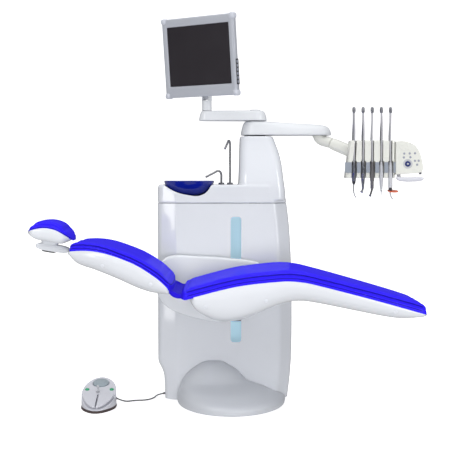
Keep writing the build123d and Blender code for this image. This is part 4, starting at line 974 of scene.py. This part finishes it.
delivery_rings = [arm_ring(*row) for row in (
    (1.3405, POST_X, 0.072, ELBOW_X, 0.059), (1.3425, POST_X, 0.0745, ELBOW_X, 0.0615),
    (1.350, POST_X, 0.0735, ELBOW_X, 0.0615), (1.362, POST_X, 0.0715, ELBOW_X, 0.0580),
    (1.374, POST_X, 0.0690, ELBOW_X, 0.0520), (1.384, POST_X, 0.0665, ELBOW_X, 0.0430),
    (1.391, POST_X, 0.0645, ELBOW_X - 0.006, 0.0340), (1.3955, POST_X, 0.0630, 0.405, 0.0300),
    (1.3985, POST_X, 0.0615, 0.350, 0.0330), (1.4015, POST_X, 0.0600, 0.290, 0.0380),
    (1.4045, POST_X, 0.0580, 0.230, 0.0420), (1.4075, POST_X, 0.0555, 0.180, 0.0430),
    (1.4105, POST_X, 0.0520, 0.140, 0.0420), (1.4130, POST_X, 0.0450, 0.115, 0.0400))]
moulded("delivery_arm_moulding", [skin("delivery_arm_body", delivery_rings)], 0.0032, 8, arm_paint,
        "delivery_arm", ["delivery_arm"])

ARM_TURN = math.radians(-25.85)
ALONG = Vector((math.cos(ARM_TURN), math.sin(ARM_TURN), 0))
ACROSS = Vector((-ALONG.y, ALONG.x, 0))
BALANCE_START, BALANCE_END = Vector((0.488, -0.026, 1.302)), Vector((0.623, -0.0914, 1.240))
REACH = (BALANCE_END - BALANCE_START).normalized()
REACH_UP = ACROSS.cross(REACH) * -1


def horn(name, stations, squareness=2.6):
    """A curved body through oval sections: (centre, its way up, half width, half height)."""
    return skin(name, [oval(Vector(center), ACROSS, Vector(up).normalized(), wide, tall, squareness, 48)
                       for center, up, wide, tall in stations])


elbow_stations = [
    ((0.436, -0.001, 1.3375), ALONG, 0.031, 0.031), ((0.4362, -0.001, 1.3355), ALONG, 0.0345, 0.0345),
    ((0.4375, -0.0015, 1.330), ALONG, 0.0352, 0.0352),
    ((0.4420, -0.004, 1.3235), ALONG + UP * 0.25, 0.0345, 0.0345),
    ((0.4505, -0.008, 1.3160), ALONG * 0.9 + UP * 0.65, 0.0335, 0.0325),
    ((0.4620, -0.0135, 1.3105), ALONG * 0.7 + UP, 0.0325, 0.0300),
    ((0.4760, -0.0203, 1.3060), ALONG * 0.5 + UP, 0.0315, 0.0285),
    (tuple(BALANCE_START + REACH * 0.004), REACH_UP, 0.0300, 0.0270),
    (tuple(BALANCE_START + REACH * 0.007), REACH_UP, 0.0260, 0.0230)]
moulded("elbow_moulding", [horn("elbow_horn", elbow_stations, 2.3)], 0.0020, 5, ivory, "elbow", ["elbow"])
collar = lathe("collar", (0.434, 0, 1.3335), UP,
               [(0.030, 0), (0.0365, 0.0004), (0.037, 0.0014), (0.037, 0.0052),
                                                 (0.0362, 0.0060), (0.030, 0.0062)], 48)
put("elbow_ring", collar, ivory, "elbow", ["elbow"])
length = (BALANCE_END - BALANCE_START).length
link_stations = []
for along, wide, tall in ((0.008, 0.0240, 0.0210), (0.0092, 0.0285, 0.0260), (0.013, 0.0300, 0.0290),
                          (0.045, 0.0290, 0.0300), (length - 0.030, 0.0270, 0.0300),
                          (length + 0.004, 0.0250, 0.0285), (length + 0.016, 0.0220, 0.0230),
                          (length + 0.022, 0.0160, 0.0150)):
    link_stations.append((BALANCE_START + REACH * along, REACH_UP, wide, tall))
moulded("balance_arm_moulding", [horn("link_horn", link_stations, 2.6)], 0.0020, 5, ivory, "balance_arm",
        ["balance_arm"])
head_copy = cad_mesh("head_block")
for vertex in head_copy.vertices:
    lean = min(1.0, max(0.0, (vertex.co.z - 1.165) / 0.143))
    side = min(1.0, max(0.0, (0.612 - vertex.co.x) / 0.067))
    if vertex.co.y < -0.120:
        vertex.co.x += 0.021 * side * lean * lean * (3 - 2 * lean)
moulded("head_moulding", [head_copy], 0.0018, 12, ivory, "head", ["head_block"])
moulded("panel_moulding", [cad_mesh("control_panel")], 0.0018, 14, ivory, "head", ["control_panel"])
handle_rings = []
for x, half_depth, half_height, drop in ((0.797, 0.008, 0.005, -0.006), (0.800, 0.0115, 0.0085, -0.004),
                                         (0.815, 0.0125, 0.0105, 0.0), (0.850, 0.0130, 0.0115, 0.002),
                                         (0.895, 0.0130, 0.0110, 0.001), (0.922, 0.0120, 0.0095, -0.001),
                                         (0.929, 0.0095, 0.0070, -0.002), (0.9325, 0.0045, 0.0035, -0.003)):
    handle_rings.append(oval(Vector((x, -0.226, 1.1145 - drop)), Y_AXIS, UP, half_depth, half_height, 2.4))
foot_of_handle = solid_tube("handle_foot", [(0.812, -0.226, 1.115), (0.813, -0.210, 1.119),
                                            (0.813, -0.190, 1.137)],
                            0.0095, count=24)
moulded("handle_moulding", [skin("handle", handle_rings), foot_of_handle], 0.0014, 4, lilac, "head",
        ["head_handle"])


PANEL_FACE_Y = -0.2298
panel_tree = tree_of(bpy.data.objects["panel_moulding"])


def on_front(x, z):
    """Where a line straight back meets the control panel, and the direction out of it."""
    hit = panel_tree.ray_cast(Vector((x, -0.4, z)), Y_AXIS)
    return (hit[0], hit[1]) if hit[0] is not None else (Vector((x, PANEL_FACE_Y, z)), Vector((0, -1, 0)))


KEY_SPOTS = [(0.8345, 1.241), (0.861, 1.242), (0.8875, 1.2425), (0.8325, 1.222), (0.865, 1.223),
             (0.8875, 1.205),
             (0.906, 1.2055), (0.8985, 1.186)]
for number, (x, z) in enumerate(KEY_SPOTS, start=1):
    spot, out = on_front(x, z)
    key = lathe("key", spot - out * 0.001, out, [(0.003, 0), (0.0056, 0), (0.0058, 0.0012), (0.0054, 0.0019),
                                                 (0.003, 0.0022)], 24)
    put(f"panel_key_{number}", key, key_grey, "head", [])
spot, out = on_front(0.852, 1.190)
put("panel_nav_ring", lathe("ring", spot - out * 0.001, out, [(0.0165, 0), (0.023, 0), (0.0238, 0.0012),
                                                              (0.0228, 0.0020), (0.0170, 0.0020),
                                                              (0.0165, 0.0012)], 40),
    grip_white, "head", [])
put("panel_nav_button", lathe("nav", spot - out * 0.001, out, [(0.004, 0), (0.0138, 0), (0.0142, 0.0018),
                                                               (0.0132, 0.0030), (0.006, 0.0034)], 40),
    navy, "head", [])
put("panel_nav_centre", lathe("centre", spot + out * 0.002, out, [(0.002, 0), (0.0045, 0), (0.0045, 0.0018),
                                                                  (0.0036, 0.0026), (0.001, 0.0028)], 24),
    grip_white, "head", [])
spot, out = on_front(0.8335, 1.2735)
dimple = [oval(spot + out * lift, X_AXIS, out.cross(X_AXIS), 0.024 * size, 0.016 * size, 2.0, 40)
          for lift, size in ((-0.002, 1.0), (0.0008, 1.0), (0.0014, 0.94), (0.0008, 0.82), (-0.001, 0.55),
                             (-0.0016, 0.2))]
put("panel_dish", skin("panel_dish", dimple), ivory, "head", [])
put("panel_stop", lathe("stop", (0.914, -0.222, 1.147), (0.5, -0.3, -0.8),
                        [(0.003, 0), (0.0075, 0), (0.008, 0.004),
                                                                            (0.006, 0.008), (0.002, 0.010)],
                        24),
    rubber, "head", [])
pads = cad_mesh("holder_pads")
moulded("holder_strip", [pads], 0.0012, 3, holder_blue, "head", ["holder_pads"])

# ---------------------------------------------------------------- handpieces


def grip(name, place, profile, material, body, node, ribs=()):
    """A handpiece body turned about its long axis, with ribs at the given heights."""
    rows = []
    for radius, z in profile:
        rows.append((radius, z))
    for z in ribs:
        base = curve_value([(row[1], row[0]) for row in profile], z)
        rows += [(base, z + 0.0012), (base + 0.0006, z + 0.0006), (base + 0.0006, z - 0.0006),
                 (base, z - 0.0012)]
    rows.sort(key=lambda row: -row[1])
    mesh = lathe(name, (place, TOOL_Y, 0), UP, rows, 32)
    return put(name, mesh, material, body, [node])


TAIL = [(0.0040, 1.1995), (0.0052, 1.199), (0.0058, 1.194), (0.0062, 1.188), (0.0088, 1.183), (0.0098, 1.179),
        (0.0104, 1.168)]
x1, x2, x3, x4, x5 = HOLDER_X
grip("syringe_body", x1, TAIL + [(0.0105, 1.150), (0.0105, 1.112), (0.0100, 1.106), (0.0094, 1.104)],
     grip_steel,
     "whip_1", "syringe", (1.160, 1.152, 1.144))
grip("syringe_cone", x1, [(0.0092, 1.104), (0.0086, 1.098), (0.0062, 1.091), (0.0040, 1.088),
                          (0.0030, 1.087)],
     dark_plastic, "whip_1", "syringe")
put("syringe_nozzle", solid_tube("nozzle", [(x1, TOOL_Y, 1.090), (x1 - 0.0006, TOOL_Y, 1.070),
                                            (x1, TOOL_Y, 1.050),
                                            (x1 + 0.0045, TOOL_Y - 0.001, 1.034),
                                            (x1 + 0.011, TOOL_Y - 0.002, 1.0225)],
                                 0.0030, 0.0020), grip_steel, "whip_1", ["syringe"])
grip("turbine_body", x2, TAIL + [(0.0105, 1.150), (0.0098, 1.125), (0.0088, 1.106), (0.0070, 1.090),
                                 (0.0056, 1.074),
                                 (0.0048, 1.066)], grip_steel, "whip_2", "turbine",
     (1.140, 1.132, 1.124, 1.116))
put("turbine_neck", solid_tube("neck", [(x2, TOOL_Y, 1.068), (x2 - 0.002, TOOL_Y, 1.060),
                                        (x2 - 0.006, TOOL_Y, 1.053)],
                               0.0048, 0.0044), grip_steel, "whip_2", ["turbine"])
put("turbine_head", lathe("head", (x2 - 0.012, TOOL_Y - 0.001, 1.0545), (0.92, 0, -0.39),
                          [(0.003, 0), (0.0052, 0.0004), (0.006, 0.002), (0.006, 0.011), (0.0052, 0.0134),
                           (0.003, 0.014)]),
    chrome, "whip_2", ["turbine"])
grip("motor_body", x3, TAIL + [(0.0105, 1.150), (0.0105, 1.108), (0.0096, 1.105), (0.0085, 1.103),
                               (0.0082, 1.070),
                               (0.0062, 1.065)], motor_grey, "whip_3", "micromotor",
     (1.098, 1.092, 1.086))
put("motor_neck", solid_tube("neck", [(x3, TOOL_Y, 1.068), (x3 - 0.002, TOOL_Y, 1.056),
                                      (x3 - 0.009, TOOL_Y - 0.001, 1.034)],
                             0.0054, 0.0042), dark_plastic, "whip_3", ["micromotor"])
put("motor_head", lathe("head", (x3 - 0.0145, TOOL_Y - 0.001, 1.0355), (0.85, 0, -0.53),
                        [(0.002, 0), (0.0042, 0.0004), (0.005, 0.002), (0.005, 0.009), (0.0042, 0.0112),
                         (0.002, 0.012)]),
    grip_steel, "whip_3", ["micromotor"])
grip("scaler_body", x4, TAIL + [(0.0105, 1.150), (0.0095, 1.112), (0.0082, 1.084), (0.0058, 1.067),
                                (0.0044, 1.060)],
     grip_white, "whip_4", "scaler", (1.134, 1.126, 1.118, 1.110))
grip("scaler_tip", x4, [(0.0040, 1.061), (0.0036, 1.056), (0.0020, 1.051), (0.0012, 1.040), (0.0006, 1.0285)],
     chrome, "whip_4", "scaler")
grip("lamp_body", x5, TAIL + [(0.0105, 1.150), (0.0105, 1.078), (0.0100, 1.074), (0.0092, 1.071)], grip_white,
     "whip_5", "curing_light", (1.162,))
grip("lamp_collar", x5, [(0.0086, 1.072), (0.0090, 1.070), (0.0090, 1.059), (0.0080, 1.056)], dark_plastic,
     "whip_5", "curing_light")
shield_rings = []
for lift, size in ((0.0022, 0.90), (0.0018, 0.97), (0.0010, 1.0), (-0.0010, 1.0), (-0.0018, 0.97),
                   (-0.0022, 0.90)):
    shield_rings.append(oval(Vector((x5 + 0.013, TOOL_Y, 1.0550 + lift)), Vector((0.998, 0, -0.06)),
                             Vector((0, 0.95, 0.31)), 0.0275 * size, 0.0180 * size, 2.3, 56))
put("lamp_shield", skin("lamp_shield", shield_rings), shield_orange, "whip_5", ["curing_light"])
put("lamp_guide", solid_tube("guide", [(x5, TOOL_Y, 1.057), (x5, TOOL_Y, 1.043),
                                       (x5 + 0.003, TOOL_Y - 0.001, 1.030),
                                       (x5 + 0.0115, TOOL_Y - 0.003, 1.0135)], 0.0044, 0.0032), grip_white,
    "whip_5",
    ["curing_light"])

# ---------------------------------------------------------------- foot control


def narrowed(mesh):
    """The foot control's copy made egg-shaped: narrower towards its front."""
    for vertex in mesh.vertices:
        forward = min(1.0, max(0.0, (-0.350 - vertex.co.y) / 0.150))
        vertex.co.x = -0.672 + (vertex.co.x + 0.672) * (1 - 0.20 * forward * forward * (1.4 - 0.4 * forward))
    return mesh


moulded("foot_cover_moulding", [narrowed(cad_mesh("foot_cover"))], 0.0018, 5, lilac, "base", ["foot_cover"])
moulded("foot_rim", [narrowed(cad_mesh("foot_base"))], 0.0020, 3, rim_brown, "base", ["foot_base"])
for side in ("left", "right"):
    moulded(f"pedal_{side}", [narrowed(cad_mesh(f"foot_pedal_{side}"))], 0.0015, 4, lilac,
            f"foot_pedal_{side}",
            [f"foot_pedal_{side}"])
FOOT_SLOPE = math.radians(17.0)
FOOT_OUT = Vector((0, -math.sin(FOOT_SLOPE), math.cos(FOOT_SLOPE)))
FOOT_BACK = Vector((0, math.cos(FOOT_SLOPE), math.sin(FOOT_SLOPE)))
FOOT_CENTER = Vector((-0.672, -0.350, 0.074))


def foot_point(x, y, lift):
    """A point above the foot control's sloping top."""
    return FOOT_CENTER + Vector((x, 0, 0)) + FOOT_BACK * y + FOOT_OUT * lift


dome = lathe("dome", foot_point(0, 0.092, -0.0035), FOOT_OUT,
             [(0.030, 0), (0.0385, 0), (0.039, 0.002), (0.039, 0.0055), (0.0375, 0.0078), (0.0345, 0.0085),
              (0.0335, 0.0078), (0.0325, 0.0085), (0.0275, 0.0090), (0.0262, 0.0082), (0.0250, 0.0092),
              (0.0238, 0.0108), (0.0205, 0.0118), (0.012, 0.0124), (0.004, 0.0125)], 64)
put("foot_dome_cap", dome, dome_grey, "foot_dome", ["foot_dome"])
for side, x in (("left", -0.060), ("right", 0.060)):
    button = lathe("button", foot_point(x, 0.026, -0.004), FOOT_OUT,
                   [(0.006, 0), (0.0098, 0), (0.010, 0.001), (0.010, 0.0058), (0.0092, 0.0074),
                    (0.006, 0.0080)], 40)
    put(f"foot_button_cap_{side}", button, button_green, f"foot_button_{side}", [f"foot_button_{side}"])
stick = lathe("stick", foot_point(-0.004, 0.004, -0.012), FOOT_OUT,
              [(0.003, 0), (0.0040, 0.001), (0.0038, 0.018), (0.0040, 0.030), (0.0052, 0.034),
               (0.0064, 0.0375),
               (0.0065, 0.0415), (0.0056, 0.0448), (0.003, 0.0460)], 32)
put("foot_stick", stick, grip_white, "foot_joystick", ["foot_joystick"])

# ---------------------------------------------------------------- floor and light

floor_material = bpy.data.materials.new("floor_paper")
floor_material.use_nodes = True
floor_shader = floor_material.node_tree.nodes["Principled BSDF"]
floor_shader.inputs["Base Color"].default_value = (0.93, 0.93, 0.93, 1)
floor_shader.inputs["Roughness"].default_value = 0.7
floor_shader.inputs["Emission Color"].default_value = (1, 1, 1, 1)
floor_shader.inputs["Emission Strength"].default_value = 0.60
sweep = []
for y, z in ((-9.0, -0.0005), (-4.0, -0.0005), (0.0, -0.0005), (2.2, -0.0005), (2.9, 0.06), (3.5, 0.32),
             (3.9, 0.80), (4.1, 1.6), (4.15, 3.0), (4.15, 6.0)):
    sweep.append([Vector((x, y, z)) for x in (-7.0, -3.5, 0.0, 3.5, 7.0)])
floor = put("paper_sweep", skin("paper_sweep", sweep, closed=False, capped=False), floor_material, None)
floor.visible_glossy = False
floor.visible_diffuse = False
floor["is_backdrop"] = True


def softbox(name, place, target, width, height, power_watts, tint=(1, 1, 1)):
    """A large soft rectangular light aimed at a point."""
    data = bpy.data.lights.new(name, "AREA")
    data.shape = "RECTANGLE"
    data.size, data.size_y = width, height
    data.energy = power_watts
    data.color = tint
    light = bpy.data.objects.new(name, data)
    light.location = place
    light.rotation_euler = (Vector(target) - Vector(place)).to_track_quat("-Z", "Y").to_euler()
    scene.collection.objects.link(light)
    return light


softbox("key_light", (-2.4, -3.0, 3.0), (0, -0.2, 0.8), 1.0, 1.8, 31, (1.0, 0.99, 0.98))
softbox("fill_light", (3.2, -2.6, 1.8), (0.1, -0.2, 0.9), 0.7, 2.4, 24)
front = softbox("front_light", (0.3, -5.0, 0.35), (-0.05, -0.2, 0.20), 2.6, 0.9, 106)
front.visible_glossy = False
softbox("left_strip", (-2.6, -2.6, 0.9), (-0.35, -0.2, 0.7), 0.35, 1.9, 9)
softbox("edge_strip", (-1.8, -4.4, 0.745), (-0.30, -0.2, 0.90), 0.07, 0.24, 1.6)
softbox("right_strip", (2.6, -1.6, 2.6), (0.2, -0.15, 1.2), 0.14, 1.6, 9)
softbox("top_light", (0.0, -0.6, 3.6), (0, -0.3, 0.6), 2.6, 1.4, 14)
world = bpy.data.worlds.new("studio")
scene.world = world
world.use_nodes = True
sky = world.node_tree
place = sky.nodes.new("ShaderNodeTexCoord")
axes = sky.nodes.new("ShaderNodeSeparateXYZ")
ramp = sky.nodes.new("ShaderNodeValToRGB")
ramp.color_ramp.elements[0].position = 0.0
ramp.color_ramp.elements[0].color = (0.86, 0.865, 0.88, 1)
ramp.color_ramp.elements[1].position = 1.0
ramp.color_ramp.elements[1].color = (0.98, 0.99, 1.0, 1)
for height, level in ((0.47, 0.30), (0.53, 0.16), (0.60, 0.30)):
    band = ramp.color_ramp.elements.new(height)
    band.color = (level, level, level * 1.03, 1)
shift = sky.nodes.new("ShaderNodeMapRange")
shift.inputs["From Min"].default_value = -1
sky.links.new(place.outputs["Generated"], axes.inputs["Vector"])
sky.links.new(axes.outputs["Z"], shift.inputs["Value"])
sky.links.new(shift.outputs["Result"], ramp.inputs["Fac"])
sky.links.new(ramp.outputs["Color"], sky.nodes["Background"].inputs["Color"])
sky.nodes["Background"].inputs["Strength"].default_value = 1.04
scene.view_settings.view_transform = "Standard"

low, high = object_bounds()
